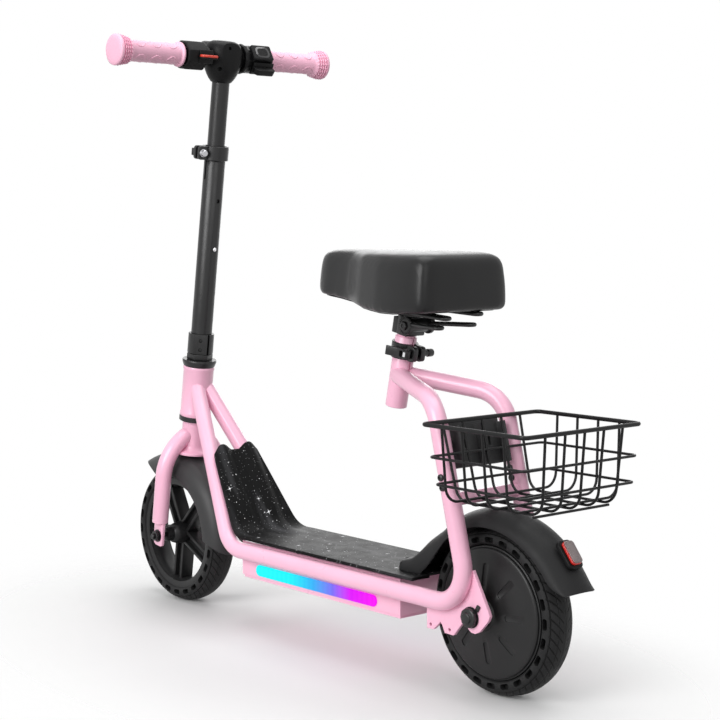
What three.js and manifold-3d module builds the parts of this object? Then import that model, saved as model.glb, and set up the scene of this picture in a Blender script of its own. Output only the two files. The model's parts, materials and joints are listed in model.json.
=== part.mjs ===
import * as THREE from "three";
import { mergeVertices } from "three/addons/utils/BufferGeometryUtils.js";
import Module from "manifold-3d";

// A seated electric scooter. Millimetres; +X forward, +Y to the rider's left, +Z up.
// The places below count from the ground straight under the rear axle; the last lines
// move the origin to the ground under the middle of the scooter's length.

const wasm = await Module();
wasm.setup();

// Clearances and counts shared by every piece
const fit = 0.3;
const overrun = 6;
const roundSides = 20;
const wheelSides = 36;
const tubeSides = 12;
const bendSteps = 6;

// Wheels
const wheelBase = 821;
const wheelRadius = 127;
const tyreWidth = 54;
const treadWidth = 30;
const tyreSeatRadius = 100.6;
const tyreSeatWidth = 44;
const treadCrown = 4;
const sidewallRadius = 113;

// Steering axis: it passes through the front axle and leans back
const rakeDegrees = 8.28;
const steererOd = 30;

// Heights along the steering axis, counted from the front axle
const crownBottom = 153.5;
const lowerCupBottom = 215;
const headTubeBottom = 224;
const headTubeLength = 89.6;
const upperCupHeight = 11.5;
const locknutHeight = 11;
const baseClampHeight = 40;
const stemTubeTop = 717;
const stemCollarBottom = 694;
const stemCollarHeight = 25;
const innerTubeTail = 17;
const heightButtonUp = 535;
const heightHoleStep = 87;
const headBottom = 831;
const handlebarUp = 874.6;
const headTop = 904;
const headFacetDegrees = 7;

// Head tube and headset
const headTubeOd = 55;
const headTubeWall = 4;
const upperCupOd = 62;
const upperCupLip = 4;
const lowerCupOd = 58;
const locknutFlats = 41;
const nutSides = 6;

// Frame tubes: one bent tube a side, from the head tube under the deck and up to the seat tube
const frameTubeOd = 28;
const frameTubeSpread = 72.8;
const deckTubeHeight = 141.8;
const headJointUp = 297;
const headJointSpread = 6;
const frontBendSetback = 236;
const frontBendRadius = 64;
const rearBendX = -5.5;
const rearBendRadius = 54;
const stayLeanDegrees = 14.4;
const stayTopRise = 26.2;
const stayBendRadius = 60;
const seatJointSpread = 8;
const stayBridgeOd = 20;
const stayBridgeUp = 156.2;

// Seat tube, post and clamp: heights count along the leaning seat tube from its lower end
const seatTubeX = 237.4;
const seatTubeBottom = 414.2;
const seatTubeLeanDegrees = 11.86;
const seatTubeOd = 34.6;
const seatTubeWall = 2.6;
const seatTubeLength = 115;
const seatJointUp = 51;
const seatSlotLength = 55;
const seatSlotWidth = 3;
const seatCollarUp = 80.5;
const seatCollarHeight = 25;
const seatCollarWall = 3.4;
const seatEarReach = 17;
const seatEarThickness = 9;
const seatEarGap = 7;
const seatBoltOd = 6;
const seatBoltOutset = 9;
const seatNutOd = 13;
const seatNutLength = 23;
const seatLeverBarrelOd = 14;
const seatLeverThickness = 4.5;
const seatLeverHeight = 15;
const seatLeverLength = 31;
const seatPostBottom = 8;
const seatPostWall = 2.4;

// Saddle
const saddleClampHeight = 31;
const saddleClampGap = 3;
const saddleClampRadius = 17.5;
const saddleBoltUp = 17;
const saddleBoltSetback = 21;
const saddleBoltRadius = 14.5;
const saddleBoltReach = 27;
const saddleBoltShank = 5;
const saddleRearReach = 131;
const saddleLength = 341.2;
const saddleHalfWidth = 96;
const saddleDepth = 96;
const saddleLift = 5;
const saddleRearRise = 4;
const saddleNoseRise = 21;
const saddleCrown = 5;
const saddleSideLean = 5.5;
const saddleTopSetback = 3.5;
const saddleEdgeRound = 18;
const saddleMidShare = 0.24;
const saddleBaseThickness = 5;
const saddleBaseInset = 16;
const railWireOd = 7;
const railSpread = 35;
const railBendShare = 0.95;
const railNoseShare = 2 / 3;
const railRearInset = 16;
const railHighDrop = 12;
const railGap = 11;
const railFrontInset = 87;
const railFrontDrop = 9.5;
const railClampSpread = 20;

// Deck
const deckThickness = 5;
const wheelGap = 8;
const deckRearX = 121;
const deckTopUp = 151;
const deckTopHalfWidth = 46;
const deckRidge = 7;
const deckRidgeSpread = 29;
const deckRidgeWidth = 17;
const deckLobe = 9;
const deckColumns = 12;

// Battery box under the deck
const boxRearX = 162.5;
const boxLength = 405;
const boxHeight = 58.6;
const boxWall = 2.5;
const lidThickness = 4.6;
const lidInset = 2;
const packLength = 240;
const packWidth = 96;
const packHeight = 42;
const packGap = 12;
const ledInset = 53.5;
const ledLength = 310;
const ledHeight = 19;
const ledThickness = 3;
const ledCentreUp = 13.8;

// Rear dropouts and axle
const dropoutInner = 60;
const dropoutThickness = 5.7;
const dropoutLength = 136;
const dropoutDrop = 37;
const axleSlotWidth = 12.5;
const axleSlotReach = 52;
const axleSlotDegrees = -50;
const dropoutHoleRadius = 2.8;
const rearAxleOd = 12;
const rearAxleReach = 73;
const rearNutOd = 30;
const rearNutThickness = 8;
const rearNutCapOd = 17;
const rearNutCapLength = 5;

// Hub motor
const hubHalfWidth = 29;
const hubWall = 4;
const hubDome = 12;
const hubEdge = 1;
const hubBossRadius = 24;
const hubBossReach = 52;
const hubBearingGap = 0.4;
const statorRadius = 74;
const statorWidth = 24;

// Front wheel
const rimHoopThickness = 6;
const rimFlangeHeight = 4;
const rimFlangeWidth = 3;
const spokeCount = 5;
const spokeWidth = 25;
const spokeDepth = 22;
const spokeWeb = 8;
const spokeRib = 6;
const frontHubRadius = 18;
const frontHubHalfLength = 47;
const frontAxleOd = 10;
const frontAxleReach = 77;
const frontNutOd = 19.5;
const frontNutThickness = 8;

// Fork
const forkLegOd = 29.4;
const forkLegSpread = 60.5;
const forkLegBendRadius = 86;
const forkLegBendUp = 112;
const forkLegSweepDegrees = 70;
const forkLegBottom = 24;
const crownTubeOd = 44;
const crownFlangeOd = 72;
const crownFlangeThickness = 4;
const crownConeUp = 12;
const forkTabThickness = 6;
const forkTabWidth = 27;
const forkTabDrop = 18;

// Fenders
const frontFenderRadius = 150;
const frontFenderHalfWidth = 42;
const fenderPadRadius = 15;
const frontFenderDrop = 40;
const frontFenderThickness = 2.6;
const frontFenderFromDegrees = 52;
const frontFenderRoundFront = 14;
const frontFenderRoundRear = 10;
const frontFenderFlare = 9;
const frontFenderToDegrees = 188;
const rearFenderRadius = 154.5;
const rearFenderFlare = 15;
const rearFenderHalfWidth = 38;
const rearFenderDrop = 25;
const rearFenderThickness = 3;
const rearFenderFromDegrees = 46;
const rearFenderToDegrees = 161;
const fenderColumns = 8;
const fenderRows = 12;

// Tail light
const tailLightDegrees = 142.5;
const tailLightLength = 46;
const tailLightWidth = 30;
const tailBaseThickness = 5;
const tailLensThickness = 11.5;
const tailLensInset = 4.5;
const tailCornerShare = 0.45;

// Basket
const basketLift = 0.9;
const basketDepth = 114;
const basketLength = 202;
const basketHalfWidth = 120.9;
const basketRearTaper = 18;
const basketSideTaper = 9;
const basketRimWire = 7;
const basketWire = 4.2;
const basketRingShares = [0.39, 0.73];
const basketCornerRadius = 12;
const basketFootRadius = 24;
const basketLongWires = 5;
const basketCrossWires = 4;
const basketWireSides = 4;
const wireBendSteps = 4;
const basketWeldShare = 0.55;
const bracketHalfWidth = 50.5;
const bracketDrop = 71.9;
const bracketHeight = 68;
const bracketDepth = 15;
const bracketRibDrop = 8;
const bracketRibWidth = 5;
const bracketLugOd = 14;
const bracketLugUp = 34;
const bracketSlotLength = 13;
const bracketSlotWidth = 5;

// Stem
const stemTubeOd = 38;
const stemTubeWall = 3;
const stemSlotLength = 58;
const stemSlotWidth = 4;
const innerTubeWall = 2.5;
const baseClampOd = 46.5;
const baseClampSlot = 9;
const stemCollarWall = 4.2;
const stemEarReach = 22;
const stemEarThickness = 6;
const stemEarGap = 6;
const stemBoltOd = 6;
const stemBoltShare = 0.66;
const boltEndGap = 1;
const stemNutOd = 12;
const stemNutLength = 8;
const stemLeverBarrelOd = 12;
const stemLeverThickness = 5;
const stemLeverHeight = 13;
const stemLeverClear = 2;
const stemLeverEndDegrees = -58;
const stemLeverSteps = 12;
const stemLeverTaper = 3;
const heightButtonOd = 7;
const heightButtonDome = 2.6;

// Handlebar, grips and controls: places along the bar count from the middle
const handlebarOd = 22.2;
const handlebarHalfLength = 219;
const handlebarWall = 2;
const stemHeadRadius = 33.5;
const gripOd = 36;
const gripLength = 134;
const rightGripLength = 130;
const gripCapReach = 8.5;
const gripFlangeOd = 53;
const gripFlangeLength = 23;
const gripCrown = 1;
const gripEdgeShare = 0.2;
const gripInnerFlangeOd = 41;
const gripInnerFlangeLength = 5;
const brakePodFrom = 45;
const brakePodTo = 93;
const podRadius = 24;
const podSides = 8;
const podTurn = Math.PI / podSides;
const displayPodFrom = 36;
const displayPodTo = 97;
const displayPodRadius = 24;
const displayHoodHeight = 5;
const displayHoodBack = 18;
const displayHoodFront = 14;
const displayLeanDegrees = 28;
const leverRoot = 5;
const leverSpreadDegrees = 26;
const leverReach = 15;
const leverThickness = 6.5;
const brakeLeverFrom = 39;
const brakeLeverTo = 68;
const throttleFrom = 52;
const throttleTo = 96;
const throttleThickness = 12;
const throttleDropDegrees = 32;
const powerButtonOd = 9;
const powerButtonAt = 50;
const powerButtonInShare = 0.75;
const powerButtonProud = 1.6;
const powerButtonPocket = 4;
const headlightOd = 44;
const headlightLength = 26;
const headlightUp = 4;
const headlightOutset = 30;

// Colours
const pink = 0xf7c3d8;
const black = 0x1c1c1d;
const softBlack = 0x2a2a2b;
const steel = 0xb8babd;
const red = 0xc62318;
const cyan = 0x19d8f2;
const blue = 0x2b4d8c;

const degrees = Math.PI / 180;
const rake = rakeDegrees * degrees;
const stayLean = stayLeanDegrees * degrees;
const seatLean = seatTubeLeanDegrees * degrees;
const frameTubeRadius = frameTubeOd / 2;
const seatTubeRadius = seatTubeOd / 2;
const stemTubeRadius = stemTubeOd / 2;
const steererRadius = steererOd / 2;
const barRadius = handlebarOd / 2;
const flatDown = Math.PI / wheelSides;
const gripEndReach = handlebarHalfLength + gripCapReach;
const innerTubeBottom = heightButtonUp - innerTubeTail;
const frontBendX = wheelBase - frontBendSetback;
const stayTopHeight = seatTubeBottom + stayTopRise;
const stayBridgeHeight = deckTubeHeight + stayBridgeUp;
const basketRimHeight = stayBridgeHeight + basketLift + basketDepth;
const bracketBottomHeight = basketRimHeight - bracketDrop;

// Solids and meshes

function toSolid(geometry) {
  const bare = geometry.clone();
  bare.deleteAttribute("normal");
  bare.deleteAttribute("uv");
  const merged = mergeVertices(bare);
  const corners = Array.from(merged.index.array);
  const whole = [];
  for (let i = 0; i < corners.length; i += 3) {
    const [a, b, c] = corners.slice(i, i + 3);
    if (a !== b && b !== c && c !== a) whole.push(a, b, c);
  }
  const build = (triVerts) =>
    new wasm.Manifold(
      new wasm.Mesh({
        numProp: 3,
        vertProperties: new Float32Array(merged.attributes.position.array),
        triVerts: new Uint32Array(triVerts),
      }),
    );
  const made = build(whole);
  if (made.volume() >= 0) return made;
  for (let i = 0; i < whole.length; i += 3) {
    [whole[i + 1], whole[i + 2]] = [whole[i + 2], whole[i + 1]];
  }
  return build(whole);
}

function toGeometry(solid) {
  const { vertProperties, triVerts } = solid.getMesh();
  const geometry = new THREE.BufferGeometry();
  geometry.setAttribute("position", new THREE.BufferAttribute(vertProperties, 3));
  geometry.setIndex(new THREE.BufferAttribute(triVerts, 1));
  const loose = geometry.toNonIndexed();
  loose.computeVertexNormals();
  return loose;
}

function join(...parts) {
  return toGeometry(parts.map(toSolid).reduce((whole, part) => whole.add(part)));
}

function cut(base, ...tools) {
  const start = toSolid(base);
  return toGeometry(tools.map(toSolid).reduce((whole, tool) => whole.subtract(tool), start));
}

function material(color, roughness, metalness) {
  return new THREE.MeshStandardMaterial({ color, roughness, metalness });
}

const paint = () => material(pink, 0.35, 0.1);
const plastic = () => material(softBlack, 0.55, 0);
const coated = () => material(black, 0.4, 0.3);
const rubber = () => material(softBlack, 0.8, 0);
const metal = () => material(steel, 0.3, 1);

function piece(parent, name, geometry, finish) {
  const mesh = new THREE.Mesh(toGeometry(toSolid(geometry)), finish);
  mesh.name = name;
  parent.add(mesh);
  return mesh;
}

// Plain shapes

function block(fromX, toX, fromY, toY, fromZ, toZ) {
  const geometry = new THREE.BoxGeometry(toX - fromX, toY - fromY, toZ - fromZ);
  return geometry.translate((fromX + toX) / 2, (fromY + toY) / 2, (fromZ + toZ) / 2);
}

// A turned body round the Y axis, from [radius, y] corners
function turnedY(corners, sides = roundSides) {
  const points = corners.map(([radius, y]) => new THREE.Vector2(radius, y));
  return new THREE.LatheGeometry(points, sides);
}

// A turned body round the Z axis, from [radius, z] corners
function turnedZ(corners, sides = roundSides) {
  return turnedY(corners, sides).rotateX(Math.PI / 2);
}

function rodZ(radius, fromZ, toZ, sides = roundSides) {
  return turnedZ([[0, fromZ], [radius, fromZ], [radius, toZ], [0, toZ]], sides);
}

function rodY(radius, fromY, toY, sides = roundSides) {
  return turnedY([[0, fromY], [radius, fromY], [radius, toY], [0, toY]], sides);
}

function rodX(radius, fromX, toX, sides = roundSides) {
  return rodZ(radius, fromX, toX, sides).rotateY(Math.PI / 2);
}

function ringZ(inner, outer, fromZ, toZ, sides = roundSides) {
  const corners = [[inner, fromZ], [outer, fromZ], [outer, toZ], [inner, toZ], [inner, fromZ]];
  return turnedZ(corners, sides);
}

function ringY(inner, outer, fromY, toY, sides = roundSides) {
  const corners = [[inner, fromY], [outer, fromY], [outer, toY], [inner, toY], [inner, fromY]];
  return turnedY(corners, sides);
}

// A flat outline in X and Z, pushed along Y
function plate(corners, fromY, toY) {
  const shape = new THREE.Shape(corners.map(([x, z]) => new THREE.Vector2(x, z)));
  const geometry = new THREE.ExtrudeGeometry(shape, { depth: toY - fromY, bevelEnabled: false });
  return geometry.rotateX(Math.PI / 2).translate(0, toY, 0);
}

// A flat outline in X and Y, pushed along Z
function slab(corners, fromZ, toZ) {
  const shape = new THREE.Shape(corners.map(([x, y]) => new THREE.Vector2(x, y)));
  const geometry = new THREE.ExtrudeGeometry(shape, { depth: toZ - fromZ, bevelEnabled: false });
  return geometry.translate(0, 0, fromZ);
}

// A path whose stations are exactly the points given
class StationPath extends THREE.Curve {
  constructor(stations) {
    super();
    this.stations = stations;
  }

  getPointAt(share, target = new THREE.Vector3()) {
    const at = share * (this.stations.length - 1);
    const low = Math.min(Math.floor(at + 1e-9), this.stations.length - 2);
    return target.copy(this.stations[low]).lerp(this.stations[low + 1], at - low);
  }

  getPoint(share, target) {
    return this.getPointAt(share, target);
  }

  getTangentAt(share, target = new THREE.Vector3()) {
    const at = Math.round(share * (this.stations.length - 1));
    const before = this.stations[Math.max(at - 1, 0)];
    const here = this.stations[at];
    const after = this.stations[Math.min(at + 1, this.stations.length - 1)];
    const inward = here.clone().sub(before).normalize();
    const outward = after.clone().sub(here).normalize();
    return target.copy(inward).add(outward).normalize();
  }
}

// Corner points with each inner corner rounded to its radius
function roundedRoute(corners, radii, steps = bendSteps) {
  const stations = [corners[0].clone()];
  for (let i = 1; i < corners.length - 1; i++) {
    const back = corners[i - 1].clone().sub(corners[i]).normalize();
    const ahead = corners[i + 1].clone().sub(corners[i]).normalize();
    const half = back.angleTo(ahead) / 2;
    const reach = radii[i - 1] / Math.tan(half);
    const towards = back.clone().add(ahead).normalize();
    const centre = corners[i].clone().addScaledVector(towards, radii[i - 1] / Math.sin(half));
    const start = corners[i].clone().addScaledVector(back, reach).sub(centre);
    const end = corners[i].clone().addScaledVector(ahead, reach).sub(centre);
    const axis = start.clone().cross(end).normalize();
    const sweep = start.angleTo(end);
    for (let step = 0; step <= steps; step++) {
      stations.push(start.clone().applyAxisAngle(axis, (sweep * step) / steps).add(centre));
    }
  }
  stations.push(corners[corners.length - 1].clone());
  return stations;
}

function tubeAlong(stations, radius, sides = tubeSides) {
  const section = new THREE.Shape();
  section.absarc(0, 0, radius, 0, 2 * Math.PI);
  const outline = section.getSpacedPoints(sides).slice(0, sides);
  return new THREE.ExtrudeGeometry(new THREE.Shape(outline), {
    steps: stations.length - 1,
    extrudePath: new StationPath(stations),
    bevelEnabled: false,
  });
}

function closedTube(stations, radius, sides) {
  const positions = [];
  const axisAt = (i) => {
    const count = stations.length;
    return stations[(i + 1) % count].clone().sub(stations[(i + count - 1) % count]).normalize();
  };
  const up = new THREE.Vector3(0, 0, 1);
  const ringAt = (i) => {
    const along = axisAt(i);
    const side = along.clone().cross(up).normalize();
    const rise = side.clone().cross(along);
    return Array.from({ length: sides }, (_, k) => {
      const turn = (2 * Math.PI * k) / sides;
      const out = side.clone().multiplyScalar(Math.cos(turn)).addScaledVector(rise, Math.sin(turn));
      return stations[i].clone().addScaledVector(out, radius);
    });
  };
  const rings = stations.map((_, i) => ringAt(i));
  rings.forEach((ring, i) => {
    const next = rings[(i + 1) % rings.length];
    ring.forEach((corner, k) => {
      const l = (k + 1) % sides;
      positions.push(corner, ring[l], next[l], corner, next[l], next[k]);
    });
  });
  return new THREE.BufferGeometry().setFromPoints(positions);
}

// A closed sheet between two grids of points of the same size
function sheetBetween(upper, lower) {
  const positions = [];
  const quad = (a, b, c, d) => positions.push(a, b, c, a, c, d);
  const rows = upper.length - 1;
  const columns = upper[0].length - 1;
  for (let i = 0; i < rows; i++) {
    for (let j = 0; j < columns; j++) {
      quad(upper[i][j], upper[i + 1][j], upper[i + 1][j + 1], upper[i][j + 1]);
      quad(lower[i][j], lower[i][j + 1], lower[i + 1][j + 1], lower[i + 1][j]);
    }
  }
  for (let i = 0; i < rows; i++) {
    quad(upper[i][0], lower[i][0], lower[i + 1][0], upper[i + 1][0]);
    quad(upper[i][columns], upper[i + 1][columns], lower[i + 1][columns], lower[i][columns]);
  }
  for (let j = 0; j < columns; j++) {
    quad(upper[0][j], upper[0][j + 1], lower[0][j + 1], lower[0][j]);
    quad(upper[rows][j], lower[rows][j], lower[rows][j + 1], upper[rows][j + 1]);
  }
  return new THREE.BufferGeometry().setFromPoints(positions);
}

// Places on the leaning axes

const scooter = new THREE.Group();

const steering = new THREE.Group();
steering.position.set(wheelBase, 0, wheelRadius);
steering.rotation.y = -rake;
steering.updateMatrixWorld(true);
scooter.add(steering);

const seatGroup = new THREE.Group();
seatGroup.position.set(seatTubeX, 0, seatTubeBottom);
seatGroup.rotation.y = -seatLean;
seatGroup.updateMatrixWorld(true);
scooter.add(seatGroup);

function onSteeringAxis(up, sideways = 0) {
  return new THREE.Vector3(0, sideways, up).applyMatrix4(steering.matrixWorld);
}

function onSeatAxis(up, sideways = 0) {
  return new THREE.Vector3(0, sideways, up).applyMatrix4(seatGroup.matrixWorld);
}

function stayX(height) {
  return rearBendX + (height - deckTubeHeight) * Math.tan(stayLean);
}

// Frame

function frameTubeCorners(side) {
  return [
    onSteeringAxis(headJointUp, side * headJointSpread),
    new THREE.Vector3(frontBendX, side * frameTubeSpread, deckTubeHeight),
    new THREE.Vector3(rearBendX, side * frameTubeSpread, deckTubeHeight),
    new THREE.Vector3(stayX(stayTopHeight), side * frameTubeSpread, stayTopHeight),
    onSeatAxis(seatJointUp, side * seatJointSpread),
  ];
}

function frameTubeRoute(side) {
  const radii = [frontBendRadius, rearBendRadius, stayBendRadius];
  return roundedRoute(frameTubeCorners(side), radii);
}

const headTubeTop = headTubeBottom + headTubeLength;

function headTubeSpace() {
  const reach = headTubeOd / 2 + fit;
  const body = rodZ(reach, headTubeBottom - overrun, headTubeTop + overrun);
  return body.applyMatrix4(steering.matrixWorld);
}

function seatTubeSpace() {
  const body = rodZ(seatTubeRadius + fit, -overrun, seatTubeLength);
  return body.applyMatrix4(seatGroup.matrixWorld);
}

// Where the two tubes meet behind the head tube, each stops just short of the middle
function frameTube(side) {
  const tube = tubeAlong(frameTubeRoute(side), frameTubeRadius);
  const joint = onSteeringAxis(headJointUp, 0);
  const edges = [-frameTubeOd * side, (fit / 2) * side];
  const otherHalf = block(joint.x - headTubeOd * 2, joint.x, Math.min(...edges), Math.max(...edges),
    joint.z - headTubeOd * 2, joint.z + headTubeOd);
  return cut(tube, headTubeSpace(), seatTubeSpace(), otherHalf);
}

function stayBridge() {
  const rod = rodY(stayBridgeOd / 2, -frameTubeSpread, frameTubeSpread, tubeSides);
  rod.translate(stayX(stayBridgeHeight), 0, stayBridgeHeight);
  const spaces = [1, -1].map((side) =>
    tubeAlong(frameTubeRoute(side), frameTubeRadius + fit),
  );
  return cut(rod, ...spaces);
}

// The rear dropout: its corners as shares of its length forward and its drop below the axle
const dropoutShares = [
  [-0.02, 1.9], [-0.257, 0.39], [-0.279, 0.2], [-0.258, 0.01], [-0.127, -0.52], [-0.06, -0.63],
  [0, -0.61], [0.05, -0.48], [0.25, -0.93], [0.41, -0.92], [0.45, -0.62], [0.48, -0.5], [0.51, -0.62],
  [0.59, -0.9], [0.69, -0.9], [0.7, 0.2], [0.6, 0.45], [0.34, 0.45], [0.16, 0.9],
];
const dropoutHoleShares = [[0.635, -0.72], [0.335, -0.74]];

function dropoutPlate(side) {
  const outline = dropoutShares.map(([along, up]) => [
    along * dropoutLength,
    wheelRadius + up * dropoutDrop,
  ]);
  const body = plate(outline, dropoutInner, dropoutInner + dropoutThickness);
  const from = dropoutInner - overrun;
  const to = dropoutInner + dropoutThickness + overrun;
  const slotHalf = axleSlotWidth / 2;
  const slot = join(
    block(0, axleSlotReach, from, to, -slotHalf, slotHalf),
    rodY(slotHalf, from, to, tubeSides),
  );
  slot.rotateY(-axleSlotDegrees * degrees).translate(0, 0, wheelRadius);
  const holes = dropoutHoleShares.map(([along, up]) =>
    rodY(dropoutHoleRadius, from, to, tubeSides)
      .translate(along * dropoutLength, 0, wheelRadius + up * dropoutDrop),
  );
  const tubeSpace = tubeAlong(frameTubeRoute(1), frameTubeRadius + fit);
  const whole = cut(body, slot, tubeSpace, ...holes);
  return side > 0 ? whole : whole.scale(1, -1, 1);
}

// A cut can leave a sliver behind; only the largest body is kept
function largestBody(geometry) {
  const bodies = toSolid(geometry).decompose();
  bodies.sort((a, b) => b.volume() - a.volume());
  return toGeometry(bodies[0]);
}

// Deck board: its underside follows the frame tubes from the rear of the deck up to the panel's top

const deckBottomGap = frameTubeRadius + fit;

function deckRoute() {
  const corners = frameTubeCorners(0).slice(0, 3);
  corners[2].x = deckRearX;
  return roundedRoute(corners, [frontBendRadius], bendSteps);
}

function ridgeAt(y) {
  const from = Math.abs(Math.abs(y) - deckRidgeSpread) / deckRidgeWidth;
  return from < 1 ? (1 + Math.cos(Math.PI * from)) / 2 : 0;
}

// Rows of the board, as shares of its flat run and of its front panel
const deckRowShares = [0, 0.3, 0.6, 0.85];
const panelRowShares = [0.25, 0.5, 0.75, 0.9, 1];
const ridgeRows = 6;

function deckBoard() {
  const columns = deckColumns;
  const route = deckRoute().reverse();
  const bendStart = route[1].clone();
  const bendEnd = route[route.length - 2].clone();
  const panelUp = route[route.length - 1].clone().sub(bendEnd).normalize();
  const deckRows = deckRowShares.map((share) => route[0].clone().lerp(bendStart, share));
  const bendRows = route.slice(1, -1);
  const panelRows = panelRowShares.map((share) =>
    bendEnd.clone().addScaledVector(panelUp, share * deckTopUp),
  );
  const spine = [...deckRows, ...bendRows, ...panelRows];
  const firstBendRow = deckRows.length;
  const grid = (lift) =>
    spine.map((point, row) => {
      const before = spine[Math.max(row - 1, 0)];
      const after = spine[Math.min(row + 1, spine.length - 1)];
      const along = after.clone().sub(before).normalize();
      const out = new THREE.Vector3(-along.z, 0, along.x);
      const upShare = (point.z - deckTubeHeight) / (spine[spine.length - 1].z - deckTubeHeight);
      const half = frameTubeSpread + (deckTopHalfWidth - frameTubeSpread) * upShare;
      const ridgeShare = Math.min(1, Math.max(0, (row - firstBendRow + 2) / ridgeRows));
      return Array.from({ length: columns + 1 }, (_, column) => {
        const y = half * (1 - (2 * column) / columns);
        const bump = deckRidge * ridgeShare * ridgeAt(y);
        const lobe = row === spine.length - 1 ? deckLobe * (ridgeAt(y) - 1) : 0;
        return point
          .clone()
          .addScaledVector(out, deckBottomGap + lift + bump)
          .addScaledVector(along, lobe)
          .setY(y);
      });
    });
  const sheet = sheetBetween(grid(deckThickness), grid(0));
  const spaces = [1, -1].map((side) => tubeAlong(frameTubeRoute(side), frameTubeRadius + fit));
  const notchHalf = tyreWidth / 2 + wheelGap;
  const notch = rodY(wheelRadius + wheelGap, -notchHalf, notchHalf, wheelSides)
    .translate(0, 0, wheelRadius);
  return largestBody(cut(sheet, notch, ...spaces));
}

// Battery box, its lid, what lies inside it, and the light strips

const boxHalfWidth = frameTubeSpread - frameTubeRadius - fit;
const boxTopHeight = deckTubeHeight + deckBottomGap - fit;
const boxFrontX = boxRearX + boxLength;
const boxBottomHeight = boxTopHeight - boxHeight;
const ledRearX = boxRearX + ledInset;
const ledCentreHeight = boxBottomHeight + ledCentreUp;
const lidTop = boxBottomHeight - fit;
const insideFloor = lidTop + fit;

function batteryBox() {
  const half = boxHalfWidth;
  const outer = block(boxRearX, boxFrontX, -half, half, boxBottomHeight, boxTopHeight);
  const inner = block(
    boxRearX + boxWall, boxFrontX - boxWall, -half + boxWall, half - boxWall,
    boxBottomHeight - overrun, boxTopHeight - boxWall,
  );
  const spaces = [1, -1].map((side) => tubeAlong(frameTubeRoute(side), frameTubeRadius + fit));
  return cut(outer, inner, ...spaces);
}

function batteryLid() {
  const half = boxHalfWidth - lidInset;
  const from = boxRearX + lidInset;
  const to = boxFrontX - lidInset;
  return block(from, to, -half, half, lidTop - lidThickness, lidTop);
}

function boxedUnit(fromX, length, width, height) {
  const half = width / 2;
  return block(fromX, fromX + length, -half, half, insideFloor, insideFloor + height);
}

function ledStrip(side) {
  const half = ledHeight / 2;
  const bar = new THREE.Shape();
  bar.absarc(ledRearX + half, ledCentreHeight, half, Math.PI / 2, (3 * Math.PI) / 2);
  bar.absarc(ledRearX + ledLength - half, ledCentreHeight, half, -Math.PI / 2, Math.PI / 2);
  const outline = bar.getPoints(bendSteps).map((point) => [point.x, point.y]);
  const inner = boxHalfWidth + fit;
  const strip = plate(outline, inner, inner + ledThickness);
  return side > 0 ? strip : strip.scale(1, -1, 1);
}

// Fenders: an arched shell swept round an axle

function frontFenderGrid(wall) {
  return Array.from({ length: fenderRows + 1 }, (_, row) =>
    Array.from({ length: fenderColumns + 1 }, (_, column) => {
      const across = -Math.PI / 2 + (Math.PI * column) / fenderColumns;
      const round = 1 - Math.cos(across);
      const from = frontFenderFromDegrees + frontFenderRoundFront * round;
      const to = frontFenderToDegrees - frontFenderRoundRear * round;
      const turn = from + ((to - from) * row) / fenderRows;
      const flare = Math.max(0, (90 - turn) / (90 - frontFenderFromDegrees)) ** 2;
      const crest = frontFenderRadius + frontFenderFlare * flare;
      const out = crest - frontFenderDrop * round - wall * Math.cos(across);
      const y = (frontFenderHalfWidth - wall) * Math.sin(across);
      return new THREE.Vector3(out * Math.cos(turn * degrees), y, out * Math.sin(turn * degrees));
    }),
  );
}

function frontFender() {
  const shell = sheetBetween(frontFenderGrid(0), frontFenderGrid(frontFenderThickness));
  shell.rotateY(rake);
  const pad = rodZ(fenderPadRadius, frontFenderRadius - frontFenderThickness, crownBottom - fit);
  return join(shell, pad);
}

function rearFenderCrown(angle) {
  const share = Math.max(0, (angle - 90) / (rearFenderToDegrees - 90));
  return rearFenderRadius + rearFenderFlare * share * share;
}

// The housing in front of the rear wheel, as shares of the wheel's radius: how far forward and up
// its crest lies from the axle, its half width, how far its walls sink forward and down, and how
// square its section is
const housingShares = [
  [1.417, 0.449, 0.354, 0, -0.173, 0.4],
  [1.26, 0.492, 0.35, 0, -0.22, 0.45],
  [1.15, 0.6, 0.339, -0.03, -0.33, 0.55],
  [1.05, 0.73, 0.323, -0.11, -0.28, 0.8],
];

// One row across a fender: a crest with walls that sink from it on both sides
function fenderRow(crest, sink, half, square, wall, back) {
  const along = sink.clone().normalize();
  const deep = sink.length() - wall;
  return Array.from({ length: fenderColumns + 1 }, (_, column) => {
    const across = -Math.PI / 2 + (Math.PI * column) / fenderColumns;
    const side = Math.abs(Math.sin(across)) ** square;
    const down = 1 - Math.max(0, Math.cos(across)) ** square;
    const point = crest.clone().addScaledVector(along, wall + deep * down);
    return point.setY(Math.sign(across) * (half - wall) * side).setX(point.x - back);
  });
}

function rearFenderGrid(grow, wall) {
  const housing = housingShares.map(([forward, up, wide, sinkForward, sinkDown, square], row) => {
    const crest = new THREE.Vector3(forward * wheelRadius, 0, up * wheelRadius);
    const sink = new THREE.Vector3(sinkForward * wheelRadius, 0, sinkDown * wheelRadius);
    return fenderRow(crest, sink, wide * wheelRadius + grow, square, wall, row === 0 ? wall : 0);
  });
  const foot = housing[0].map((point) => point.clone().setZ(housing[0][0].z));
  const arch = Array.from({ length: fenderRows + 1 }, (_, row) => {
    const sweep = rearFenderToDegrees - rearFenderFromDegrees;
    const turn = rearFenderFromDegrees + (sweep * row) / fenderRows;
    const out = new THREE.Vector3(Math.cos(turn * degrees), 0, Math.sin(turn * degrees));
    const crest = out.clone().multiplyScalar(rearFenderCrown(turn) + grow);
    const sink = out.clone().multiplyScalar(-rearFenderDrop);
    return fenderRow(crest, sink, rearFenderHalfWidth + grow, 1, wall, 0);
  });
  return [foot, ...housing, ...arch];
}

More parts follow.
